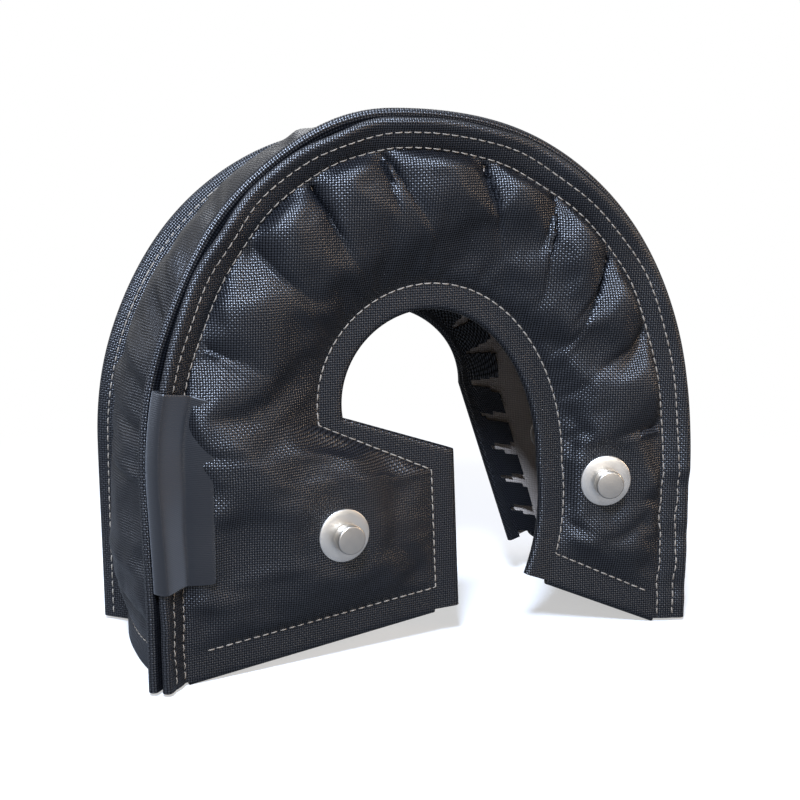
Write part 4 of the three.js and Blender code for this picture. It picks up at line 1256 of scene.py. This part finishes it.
@dataclass(frozen=True)
class Anchor:
    """A lacing anchor: a washer, a turned post and its shank, and a lock washer on the lining."""

    name: str
    top: Vector
    axis: Vector
    through: float

    def matrix(self, down: float) -> Matrix:
        """Returns the frame of a piece that lies down millimetres below the post's top."""
        turn = self.axis.to_track_quat("Z", "Y").to_matrix().to_4x4()
        return Matrix.Translation(self.top - self.axis * down * MM) @ turn

    def placed(self, piece: bpy.types.Object, name: str, down: float) -> bpy.types.Object:
        """Names a piece made at the origin, moves it to its place and puts the place in its mesh."""
        piece.name = name
        piece.data.name = name
        activate(piece)
        bpy.ops.object.transform_apply(location=True, rotation=True, scale=True)
        piece.data.transform(self.matrix(down))
        piece.data.update()
        return piece

    def ring(self, name: str, radius: float, bore: float, thickness: float, dish: float, down: float
             ) -> bpy.types.Object:
        """Models a pressed ring with a bore and rounded edges.

        Args:
            name: the piece's name.
            radius: its outer radius.
            bore: its hole's radius.
            thickness: of the sheet.
            dish: how far its rim is turned down.
            down: how far its top lies below the post's top.

        Returns:
            The ring.
        """
        deselect()
        bpy.ops.mesh.primitive_cylinder_add(vertices=72, radius=radius * MM, depth=thickness * MM,
                                            location=(0, 0, -thickness / 2 * MM))
        piece = bpy.context.object
        bpy.ops.object.mode_set(mode="EDIT")
        bpy.ops.mesh.select_all(action="DESELECT")
        bpy.ops.mesh.select_mode(type="FACE")
        bpy.ops.object.mode_set(mode="OBJECT")
        for face in piece.data.polygons:
            face.select = abs(face.normal.z) > 0.9
        bpy.ops.object.mode_set(mode="EDIT")
        for _ in range(4):
            bpy.ops.mesh.inset(thickness=(radius - bore) / 4 * MM)
        bpy.ops.mesh.bridge_edge_loops()
        bpy.ops.object.mode_set(mode="OBJECT")
        for vertex in piece.data.vertices:
            out = math.hypot(vertex.co.x, vertex.co.y) / (radius * MM)
            vertex.co.z -= dish * MM * max(out - 0.45, 0.0) ** 2 * 3.3
        apply_modifier(piece, "BEVEL", width=thickness * 0.3 * MM, segments=3, limit_method="ANGLE",
                       angle_limit=math.radians(50))
        smooth(piece, 50)
        return self.placed(piece, name, down)

    def post(self, name: str) -> bpy.types.Object:
        """Models the turned post with its waist, rounded head and shank."""
        deselect()
        bpy.ops.mesh.primitive_cylinder_add(vertices=72, radius=POST_WAIST * MM, depth=1.4 * MM,
                                            location=(0, 0, -(POST_HEIGHT - 0.7) * MM))
        piece = bpy.context.object
        self.select_cap(piece, True)
        bpy.ops.mesh.extrude_region_move(TRANSFORM_OT_translate={"value": (0, 0, 0.7 * MM)})
        ratio = POST_RADIUS / POST_WAIST
        bpy.ops.transform.resize(value=(ratio, ratio, 1))
        bpy.ops.mesh.extrude_region_move(TRANSFORM_OT_translate={"value": (0, 0, (POST_HEIGHT - 2.1) * MM)})
        self.select_cap(piece, False)
        bpy.ops.mesh.inset(thickness=(POST_WAIST - SHANK_RADIUS) * MM)
        reach = self.through + 1.6
        bpy.ops.mesh.extrude_region_move(TRANSFORM_OT_translate={"value": (0, 0, -reach * MM)})
        bpy.ops.object.mode_set(mode="OBJECT")
        apply_modifier(piece, "BEVEL", width=0.75 * MM, segments=4, limit_method="ANGLE",
                       angle_limit=math.radians(60))
        smooth(piece, 35)
        return self.placed(piece, name, 0.0)

    def select_cap(self, piece: bpy.types.Object, upper: bool) -> None:
        """Selects the upper or the lower end face of a piece, in edit mode."""
        if piece.mode != "OBJECT":
            bpy.ops.object.mode_set(mode="OBJECT")
        heights = [face.center.z for face in piece.data.polygons]
        level = max(heights) if upper else min(heights)
        bpy.ops.object.mode_set(mode="EDIT")
        bpy.ops.mesh.select_mode(type="FACE")
        bpy.ops.mesh.select_all(action="DESELECT")
        bpy.ops.object.mode_set(mode="OBJECT")
        for face in piece.data.polygons:
            face.select = abs(face.center.z - level) < 1e-6 and abs(face.normal.z) > 0.9
        bpy.ops.object.mode_set(mode="EDIT")

    def build(self, looks: "Looks") -> None:
        """Builds the anchor's three pieces in place of the frame's."""
        washer_down = POST_HEIGHT + SEAT_GAP
        lock_down = washer_down + WASHER_THICKNESS + CLOTH / 2 + SEAT_GAP + self.through
        washer = self.ring(f"{self.name}_washer_sheet", WASHER_RADIUS, WASHER_BORE, WASHER_THICKNESS, 0.5,
                           washer_down)
        post = self.post(f"{self.name}_post")
        lock = self.ring(f"{self.name}_lock_sheet", LOCK_RADIUS, 2.05, 0.8, -0.6, lock_down - 0.8)
        dress(washer, looks.washer, "stainless_washer", f"{self.name}_washer")
        dress(post, looks.post, "stainless_post", f"{self.name}_capstan")
        dress(lock, looks.washer, "stainless_washer", f"{self.name}_lock_washer")


def dress(piece: bpy.types.Object, material: bpy.types.Material, slot: str, *nodes: str) -> None:
    """Gives a piece its material and body, and hides the nodes it stands for."""
    piece.data.materials.clear()
    piece.data.materials.append(material)
    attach(piece, "root")
    if nodes:
        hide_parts(*nodes)
    LOG.info("%s: %d faces", piece.name, len(piece.data.polygons))


# Label


@dataclass
class Label:
    """A folded satin loop caught in the front rim seam on the left."""

    panel: Panel
    foot: float = 43.0
    length: float = 76.0
    reach: float = 12.0
    thickness: float = 0.7
    stand_off: float = 1.85
    caught: float = 5.0

    def rim_at(self, height: float) -> float:
        """Returns the place along the rim at a height."""
        low, high = 0.0, 2.0
        for _ in range(40):
            middle = (low + high) / 2
            if self.panel.arch.point(middle)[1] < height:
                low = middle
            else:
                high = middle
        return low

    def build(self) -> bpy.types.Object:
        """Returns the loop: out of the seam, over the flange's edge and down onto the padding."""
        panel = self.panel
        in_gap = TURNED + (CLOTH + panel.seam_gap) / 2
        turn_radius = (in_gap + self.stand_off) / 2
        top = PANEL_FLANGE + CLOTH / 2 + 0.2
        points, flats = [], []
        count = 40
        for i in range(count + 1):
            height = self.foot + self.length * i / count
            rib = panel.rib(self.rim_at(height))
            across = float(np.linalg.norm(rib.rim - rib.stitch))
            sway = 0.35 * math.sin(i * 0.33 + 0.6)
            station = [panel.flange(rib, PANEL_FLANGE - self.caught, in_gap),
                       panel.flange(rib, PANEL_FLANGE - 1.5, in_gap)]
            for degrees in range(0, 181, 20):
                angle = math.radians(degrees)
                out = top + 0.9 * math.sin(angle)
                station.append(panel.flange(rib, out, in_gap - turn_radius + turn_radius * math.cos(angle)))
            for along in (12.0, 9.0, 6.0, 3.0, 0.5):
                station.append(panel.flange(rib, along, -self.stand_off - 0.3 - sway * (1 - along / 13)))
            for reach in (3.0, 6.0, 9.0, self.reach):
                share = reach / across
                depth = panel.outer_depth(rib, share, False) + self.stand_off + sway * 0.5 + 0.5
                station.append(panel.point(rib.flat(share), max(depth, self.stand_off + 0.3)))
            points.append(station)
            steps = np.linalg.norm(np.diff(station, axis=0), axis=1)
            along_path = np.concatenate([[0.0], np.cumsum(steps)])
            flats.append([np.array([height, value]) for value in along_path])
        facing = np.array([-0.7, -0.7, 0.0])
        piece = ClothGrid("satin_label", np.array(points), np.array(flats), facing, lambda i, j: False).build()
        apply_modifier(piece, "SUBSURF", levels=1, render_levels=1)
        apply_modifier(piece, "SOLIDIFY", thickness=self.thickness * MM, offset=0.0, use_even_offset=True)
        apply_modifier(piece, "BEVEL", width=0.2 * MM, segments=2, limit_method="ANGLE",
                       angle_limit=math.radians(60))
        smooth(piece, 50)
        return piece


# Padding


def pad(name: str, node: str) -> bpy.types.Object:
    """Makes a batting pad from a copy of its node: remeshed, smoothed and settled by the cloth solver.

    Args:
        name: the piece's name.
        node: the frame node it stands for.

    Returns:
        The pad.
    """
    source = frame["nodes"][node]
    piece = bpy.data.objects.new(name, source.data.copy())
    piece.data.name = name
    bpy.context.scene.collection.objects.link(piece)
    activate(piece)
    bpy.ops.object.mode_set(mode="EDIT")
    bpy.ops.mesh.select_all(action="SELECT")
    bpy.ops.mesh.remove_doubles(threshold=1e-6)
    bpy.ops.object.mode_set(mode="OBJECT")
    apply_modifier(piece, "REMESH", mode="VOXEL", voxel_size=3.2 * MM)
    apply_modifier(piece, "SMOOTH", factor=0.5, iterations=3)
    moves = Settling(cap=0.3, swell=0.0).run(piece, np.ones(len(piece.data.vertices)))
    for vertex, move in zip(piece.data.vertices, moves):
        vertex.co += Vector(move * MM)
    smooth(piece, 60)
    return piece


# Materials


def add_node(material: bpy.types.Material, kind: str, settings: dict | None = None,
             inputs: dict | None = None) -> bpy.types.Node:
    """Adds a node to a material.

    Args:
        material: the material.
        kind: the node's type name.
        settings: its properties.
        inputs: value, or socket to link, for each of its inputs by name or number.

    Returns:
        The node.
    """
    node = material.node_tree.nodes.new(kind)
    for key, value in (settings or {}).items():
        setattr(node, key, value)
    for key, value in (inputs or {}).items():
        if isinstance(value, bpy.types.NodeSocket):
            material.node_tree.links.new(value, node.inputs[key])
        else:
            node.inputs[key].default_value = value
    return node


def new_material(name: str) -> tuple[bpy.types.Material, bpy.types.Node]:
    """Returns a new material and its Principled shader."""
    material = bpy.data.materials.new(name)
    material.use_nodes = True
    return material, material.node_tree.nodes["Principled BSDF"]


def sum_of(material: bpy.types.Material, operation: str, first: object, second: object = 0.0,
           third: float = 0.0) -> bpy.types.NodeSocket:
    """Returns the output of one Math node."""
    values = {0: first, 1: second, 2: third}
    return add_node(material, "ShaderNodeMath", {"operation": operation}, values).outputs[0]


@dataclass(frozen=True)
class WovenCloth:
    """Plain-woven cloth of glass or silica yarn, bare or under a silicone coat.

    The yarns show as a dense field of small bumps. A coat fills the valleys. The crowns of the yarns are painted
    lighter and the valleys darker, a painted highlight on the crowns and painted shade in the valleys, and the
    specular level is lowered in the valleys as painted shade, so that the crowns show as dots.
    """

    name: str
    pitch: float
    colour: str
    crown_highlight_colour: str
    roughness: float
    bump: float
    gloss: float
    stain_scale: float = 30.0
    stain: float = 0.2

    def yarn_height(self, material: bpy.types.Material) -> bpy.types.NodeSocket:
        """Returns the height of the weave from the cloth's own flat coordinates."""
        uv = add_node(material, "ShaderNodeUVMap", {"uv_map": "cloth"})
        wobble = add_node(material, "ShaderNodeTexNoise",
                          inputs={"Vector": uv.outputs[0], "Scale": 90.0, "Detail": 1.0})
        shift = add_node(material, "ShaderNodeVectorMath", {"operation": "SCALE"},
                         {0: wobble.outputs["Color"], "Scale": 0.0005})
        moved = add_node(material, "ShaderNodeVectorMath", {"operation": "ADD"},
                         {0: uv.outputs[0], 1: shift.outputs[0]})
        split = add_node(material, "ShaderNodeSeparateXYZ", inputs={0: moved.outputs[0]})
        count = 1 / (self.pitch * MM)
        u = sum_of(material, "MULTIPLY", split.outputs[0], count)
        v = sum_of(material, "MULTIPLY", split.outputs[1], count)
        warp = self.yarn(material, u, v, 0.0)
        weft = self.yarn(material, v, u, 1.0)
        return sum_of(material, "MAXIMUM", warp, weft)

    def yarn(self, material: bpy.types.Material, across: bpy.types.NodeSocket, along: bpy.types.NodeSocket,
             offset: float) -> bpy.types.NodeSocket:
        """Returns the height of one set of yarns, each going over and under the other set."""
        number = sum_of(material, "FLOOR", across)
        phase = sum_of(material, "ADD", sum_of(material, "ADD", along, number), offset + 0.5)
        wave = sum_of(material, "COSINE", sum_of(material, "MULTIPLY", phase, math.pi))
        over = sum_of(material, "MULTIPLY_ADD", wave, 0.42, 0.58)
        swing = sum_of(material, "SINE", sum_of(material, "MULTIPLY", across, math.pi))
        round_yarn = sum_of(material, "ABSOLUTE", swing)
        return sum_of(material, "MULTIPLY", sum_of(material, "POWER", round_yarn, 0.7), over)

    def build(self) -> bpy.types.Material:
        """Returns the material."""
        material, shader = new_material(self.name)
        height = self.yarn_height(material)
        place = add_node(material, "ShaderNodeTexCoord")
        cloud = add_node(material, "ShaderNodeTexNoise",
                         inputs={"Vector": place.outputs["Object"], "Scale": self.stain_scale, "Detail": 3.0})
        tone = sum_of(material, "MULTIPLY_ADD", cloud.outputs["Fac"], self.stain, 1 - self.stain / 2)
        # Painted light and shade: the yarn crowns take the lighter crown colour and the valleys the darker base
        # colour, standing in for highlight on the crowns and shade in the valleys
        crown = add_node(material, "ShaderNodeMix", {"data_type": "RGBA"},
                         {"Factor": sum_of(material, "POWER", height, 2.0), 6: linear(self.colour),
                          7: linear(self.crown_highlight_colour)})
        shaded = add_node(material, "ShaderNodeMix", {"data_type": "RGBA", "blend_type": "MULTIPLY"},
                          {"Factor": 1.0, 6: crown.outputs[2], 7: (1, 1, 1, 1)})
        material.node_tree.links.new(tone, shaded.inputs[7])
        bump = add_node(material, "ShaderNodeBump", inputs={"Strength": self.bump, "Distance": 0.25 * MM,
                                                             "Height": height})
        # Painted shade: the specular level drops in the valleys between the yarns, standing in for their
        # shadowing, and rises to the gloss value on the crowns
        gloss = add_node(material, "ShaderNodeMapRange",
                         inputs={"Value": height, "From Min": 0.25, "From Max": 0.85, "To Min": 0.05,
                                 "To Max": self.gloss})
        rough = sum_of(material, "MULTIPLY_ADD", cloud.outputs["Fac"], 0.16, self.roughness - 0.08)
        links = material.node_tree.links
        links.new(shaded.outputs[2], shader.inputs["Base Color"])
        links.new(rough, shader.inputs["Roughness"])
        links.new(gloss.outputs[0], shader.inputs["Specular IOR Level"])
        links.new(bump.outputs[0], shader.inputs["Normal"])
        return material


@dataclass(frozen=True)
class Thread:
    """Twisted glass sewing thread: fine slanting plies and a dry, pale surface."""

    name: str
    colour: str
    dark: str

    def build(self) -> bpy.types.Material:
        """Returns the material."""
        material, shader = new_material(self.name)
        place = add_node(material, "ShaderNodeTexCoord")
        plies = add_node(material, "ShaderNodeTexWave", {"bands_direction": "DIAGONAL"},
                         {"Vector": place.outputs["Object"], "Scale": 900.0, "Distortion": 2.0})
        soil = add_node(material, "ShaderNodeTexNoise",
                        inputs={"Vector": place.outputs["Object"], "Scale": 120.0})
        mix = add_node(material, "ShaderNodeMix", {"data_type": "RGBA"},
                       {"Factor": soil.outputs["Fac"], 6: linear(self.dark), 7: linear(self.colour)})
        bump = add_node(material, "ShaderNodeBump", inputs={"Strength": 0.4, "Distance": 0.1 * MM,
                                                             "Height": plies.outputs["Fac"]})
        material.node_tree.links.new(mix.outputs[2], shader.inputs["Base Color"])
        material.node_tree.links.new(bump.outputs[0], shader.inputs["Normal"])
        shader.inputs["Roughness"].default_value = 0.75
        return material


@dataclass(frozen=True)
class Steel:
    """Stainless steel, pressed sheet or turned bar, with a fine noise grain in its roughness and relief."""

    name: str
    colour: str
    roughness: float
    grain: float

    def build(self) -> bpy.types.Material:
        """Returns the material."""
        material, shader = new_material(self.name)
        place = add_node(material, "ShaderNodeTexCoord")
        fine = add_node(material, "ShaderNodeTexNoise",
                        inputs={"Vector": place.outputs["Object"], "Scale": self.grain, "Detail": 4.0})
        tone = add_node(material, "ShaderNodeMapRange",
                        inputs={"Value": fine.outputs["Fac"], "To Min": self.roughness - 0.07,
                                "To Max": self.roughness + 0.1})
        bump = add_node(material, "ShaderNodeBump", inputs={"Strength": 0.12, "Distance": 0.05 * MM,
                                                             "Height": fine.outputs["Fac"]})
        material.node_tree.links.new(tone.outputs[0], shader.inputs["Roughness"])
        material.node_tree.links.new(bump.outputs[0], shader.inputs["Normal"])
        shader.inputs["Base Color"].default_value = linear(self.colour)
        shader.inputs["Metallic"].default_value = 1.0
        return material


@dataclass(frozen=True)
class Satin:
    """Woven polyester satin: fine ribs along the weft and a soft sheen, bare of any text."""

    name: str
    colour: str

    def build(self) -> bpy.types.Material:
        """Returns the material."""
        material, shader = new_material(self.name)
        uv = add_node(material, "ShaderNodeUVMap", {"uv_map": "cloth"})
        ribs = add_node(material, "ShaderNodeTexWave", {"bands_direction": "X"},
                        {"Vector": uv.outputs[0], "Scale": 420.0, "Distortion": 1.5, "Detail": 2.0})
        bump = add_node(material, "ShaderNodeBump", inputs={"Strength": 0.35, "Distance": 0.1 * MM,
                                                             "Height": ribs.outputs["Fac"]})
        shader.inputs["Base Color"].default_value = linear(self.colour)
        shader.inputs["Roughness"].default_value = 0.42
        shader.inputs["Sheen Weight"].default_value = 0.25
        material.node_tree.links.new(bump.outputs[0], shader.inputs["Normal"])
        return material


@dataclass(frozen=True)
class Felt:
    """Ceramic fibre batting: off-white and matt, with a loose fibrous relief."""

    name: str
    colour: str

    def build(self) -> bpy.types.Material:
        """Returns the material."""
        material, shader = new_material(self.name)
        place = add_node(material, "ShaderNodeTexCoord")
        fibres = add_node(material, "ShaderNodeTexNoise",
                          inputs={"Vector": place.outputs["Object"], "Scale": 600.0, "Detail": 6.0,
                                  "Distortion": 3.0})
        bump = add_node(material, "ShaderNodeBump", inputs={"Strength": 0.7, "Distance": 0.4 * MM,
                                                             "Height": fibres.outputs["Fac"]})
        shader.inputs["Base Color"].default_value = linear(self.colour)
        shader.inputs["Roughness"].default_value = 0.95
        material.node_tree.links.new(bump.outputs[0], shader.inputs["Normal"])
        return material


class Looks:
    """Every finish of the blanket, built once."""

    def __init__(self) -> None:
        """Builds the materials."""
        # Black silicone coat over glass cloth: near black, with a soft gloss on the crowns of the yarns. The
        # crowns are painted lighter than the valleys, a painted highlight on the crowns and painted shade in the
        # valleys
        self.cloth = WovenCloth("silicone_coated_glass_cloth", 1.0, "020203", "1c1d21", 0.33, 1.0, 0.75,
                                stain=0.3).build()
        # Silica cloth, heat-cleaned to a tan: dry and matt. Its yarn crowns are painted lighter than the
        # valleys, as painted light on the crowns and painted shade in the valleys
        self.lining = WovenCloth("heat_cleaned_silica_cloth", 0.9, "9c8d80", "d2c5b8", 0.88, 0.6, 0.3,
                                 stain=0.2).build()
        self.thread = Thread("glass_sewing_thread", "a09484", "5e5448").build()
        self.washer = Steel("pressed_stainless_sheet", "e0dad0", 0.38, 260.0).build()
        self.post = Steel("turned_stainless_bar", "c8c0b4", 0.34, 400.0).build()
        self.satin = Satin("woven_polyester_satin", "0c0c0f").build()
        self.felt = Felt("ceramic_fibre_felt", "e6e2d8").build()


# Studio


class Studio:
    """Camera, pale floor, backdrop and soft lights."""

    lens_mm = 72.0
    pitch_degrees = 12.7
    camera_mm = (-231.1, -628.7, 250.4)
    heading = (0.346, 0.938)

    def camera(self) -> None:
        """Places the camera at the photograph's viewing angle."""
        data = bpy.data.cameras.new("camera")
        data.lens = self.lens_mm
        data.sensor_width = 36.0
        data.clip_start = 0.01
        data.clip_end = 50.0
        camera = bpy.data.objects.new("camera", data)
        bpy.context.scene.collection.objects.link(camera)
        pitch = math.radians(self.pitch_degrees)
        x, y = self.heading
        level = math.hypot(x, y)
        forward = Vector((x / level * math.cos(pitch), y / level * math.cos(pitch), -math.sin(pitch)))
        camera.location = Vector(self.camera_mm) * MM
        camera.rotation_mode = "QUATERNION"
        camera.rotation_quaternion = forward.to_track_quat("-Z", "Y")
        bpy.context.scene.camera = camera

    def floor(self) -> None:
        """Lays the pale floor that the blanket stands on."""
        deselect()
        bpy.ops.mesh.primitive_plane_add(size=12.0, location=(0, 0, 0))
        floor = bpy.context.object
        floor.name = "floor"
        # Matt white paint, which runs out into a plain white backdrop well behind the blanket
        material, shader = new_material("matt_white_floor")
        shader.inputs["Roughness"].default_value = 0.8
        shader.inputs["Specular IOR Level"].default_value = 0.1
        place = add_node(material, "ShaderNodeTexCoord")
        away = add_node(material, "ShaderNodeVectorMath", {"operation": "LENGTH"},
                        {0: place.outputs["Object"]})
        fade = add_node(material, "ShaderNodeMapRange", {"interpolation_type": "SMOOTHSTEP"},
                        {"Value": away.outputs["Value"], "From Min": 0.16, "From Max": 0.42})
        path = add_node(material, "ShaderNodeLightPath")
        lifted = sum_of(material, "MULTIPLY_ADD", fade.outputs[0], 0.5, 0.5)
        seen = sum_of(material, "MULTIPLY", lifted, path.outputs["Is Camera Ray"])
        paint = add_node(material, "ShaderNodeMix", {"data_type": "RGBA"},
                         {"Factor": path.outputs["Is Camera Ray"], 6: linear("6e6e6e"), 7: linear("fafafa")})
        material.node_tree.links.new(paint.outputs[2], shader.inputs["Base Color"])
        white = add_node(material, "ShaderNodeEmission", inputs={"Color": (1, 1, 1, 1), "Strength": 1.0})
        mixed = add_node(material, "ShaderNodeMixShader",
                         inputs={0: seen, 1: shader.outputs[0], 2: white.outputs[0]})
        output = material.node_tree.nodes["Material Output"]
        material.node_tree.links.new(mixed.outputs[0], output.inputs["Surface"])
        floor.data.materials.append(material)

    def area(self, name: str, place: tuple[float, float, float], size: float, power: float,
             colour: str) -> None:
        """Adds a soft light that looks at the blanket's middle."""
        data = bpy.data.lights.new(name, "AREA")
        data.shape = "DISK"
        data.size = size
        data.energy = power
        data.color = linear(colour)[:3]
        light = bpy.data.objects.new(name, data)
        bpy.context.scene.collection.objects.link(light)
        light.location = place
        light.rotation_mode = "QUATERNION"
        light.rotation_quaternion = (Vector((0, 0, 0.1)) - light.location).to_track_quat("-Z", "Y")

    def world(self) -> None:
        """Sets a world that is white to the camera, dimmer in reflections and dim as a light."""
        world = bpy.data.worlds.new("studio")
        world.use_nodes = True
        bpy.context.scene.world = world
        tree = world.node_tree
        background = tree.nodes["Background"]
        path = tree.nodes.new("ShaderNodeLightPath")
        seen = tree.nodes.new("ShaderNodeMath")
        seen.operation = "MAXIMUM"
        tree.links.new(path.outputs["Is Camera Ray"], seen.inputs[0])
        tree.links.new(path.outputs["Is Transmission Ray"], seen.inputs[1])
        strength = tree.nodes.new("ShaderNodeMapRange")
        strength.inputs["To Min"].default_value = 0.14
        strength.inputs["To Max"].default_value = 1.0
        glossy = tree.nodes.new("ShaderNodeMath")
        glossy.operation = "MULTIPLY_ADD"
        tree.links.new(path.outputs["Is Glossy Ray"], glossy.inputs[0])
        glossy.inputs[1].default_value = 0.42
        tree.links.new(strength.outputs[0], glossy.inputs[2])
        tree.links.new(seen.outputs[0], strength.inputs["Value"])
        tree.links.new(glossy.outputs[0], background.inputs["Strength"])
        background.inputs["Color"].default_value = (1, 1, 1, 1)

    def build(self) -> None:
        """Builds the studio."""
        self.camera()
        self.floor()
        self.world()
        self.area("key", (-0.34, -0.70, 0.88), 0.2, 30.0, "cfe1ff")
        self.area("top", (-0.12, -0.02, 1.15), 0.3, 9.0, "dce9ff")
        self.area("left", (-1.1, 0.1, 0.5), 0.3, 5.0, "d8e6ff")
        self.area("right", (0.95, -0.45, 0.4), 0.25, 3.0, "ffdcb8")
        self.area("behind", (0.3, 1.0, 0.8), 0.6, 3.0, "ffffff")
        self.area("front", (0.1, -1.3, 0.35), 0.4, 3.0, "fff8f0")
        bpy.context.scene.view_settings.view_transform = "Standard"


def seats_from_record(front: Panel, rear: Panel) -> list[Anchor]:
    """Reads the anchors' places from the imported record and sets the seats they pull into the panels.

    Args:
        front: the front panel.
        rear: the rear panel.

    Returns:
        The anchors.
    """
    anchors = []
    for mount in frame["record"]["mounts"]:
        if not mount["name"].startswith("lacing_"):
            continue
        name = mount["name"].removeprefix("lacing_")
        panel = front if name.startswith("front") else rear
        top, axis = Vector(mount["pos_m"]), Vector(mount["axis"]).normalized()
        to_cloth = POST_HEIGHT + SEAT_GAP + WASHER_THICKNESS + CLOTH / 2
        on_cloth = top / MM - axis * to_cloth - Vector(SOURCE_SHIFT)
        low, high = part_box(f"{name}_lock_washer")
        lock = (low + high) / 2 / MM - Vector(SOURCE_SHIFT)
        through = (on_cloth - lock).length - 0.4
        outer = panel.side.value * on_cloth.y - GUSSET_WIDTH / 2
        lining = outer - (through - LINING / 2 - SEAT_GAP) / max(abs(axis.y), 0.1)
        turn = math.atan2(axis.x, abs(axis.y))
        panel.seats.append(Seat(np.array([on_cloth.x, on_cloth.z]), turn, outer, lining))
        anchors.append(Anchor(name, top, axis, through))
    return anchors


def main() -> None:
    """Builds the blanket's pieces in order and the studio around them."""
    logging.basicConfig(level=logging.INFO, format="%(message)s")
    studio = Studio()
    studio.build()
    looks = Looks()
    front, rear = front_panel(), rear_panel()
    anchors = seats_from_record(front, rear)
    for name, panel, sizes in (("front", front, FRONT_CUT), ("rear", rear, REAR_CUT)):
        panel_dress = PanelDress(panel, name)
        cloth = panel_dress.outer_cloth()
        dress(cloth, looks.cloth, "coated_cloth", f"{name}_outer_cloth")
        lining = panel_dress.lining()
        dress(lining, looks.lining, "lining_cloth", f"{name}_lining")
        rows = {
            f"{name}_rim_outer_stitches": (rim_row(panel, OUTER_ROW, panel_dress), f"{name}_rim_stitch_outer"),
            f"{name}_rim_inner_stitches": (rim_row(panel, INNER_ROW, panel_dress), f"{name}_rim_stitch_inner"),
            f"{name}_hem_stitches": (hem_row(panel), f"{name}_edge_stitch"),
        }
        for seed, (row_name, ((points, normals), node)) in enumerate(rows.items()):
            dress(StitchRow(row_name, points, normals, seed).build(), looks.thread, "sewing_thread", node)
    gusset = GussetDress(front, rear)
    band = gusset.outer_cloth()
    dress(band, looks.cloth, "coated_cloth", "gusset_outer_cloth")
    band_lining = gusset.lining()
    dress(band_lining, looks.lining, "lining_cloth", "gusset_lining")
    for name, t in (("left", front.foot_t), ("right", front.last_t)):
        points, normals = gusset_hem_row(gusset, t)
        stitches = StitchRow(f"gusset_{name}_hem_stitches", points, normals, 7).build()
        dress(stitches, looks.thread, "sewing_thread", f"gusset_hem_stitch_{name}")
    for name, panel in (("front", front), ("rear", rear)):
        points, normals = gusset_rim_row(gusset, panel)
        stitches = StitchRow(f"gusset_{name}_rim_stitches", points, normals, 9).build()
        dress(stitches, looks.thread, "sewing_thread")
    for anchor in anchors:
        anchor.build(looks)
    for name in ("front", "rear", "gusset"):
        felt = pad(f"{name}_pad", f"{name}_batting")
        dress(felt, looks.felt, "fibre_batting", f"{name}_batting")
    label = Label(front).build()
    dress(label, looks.satin, "satin_label", "label_loop")


if __name__ == "__main__":
    main()
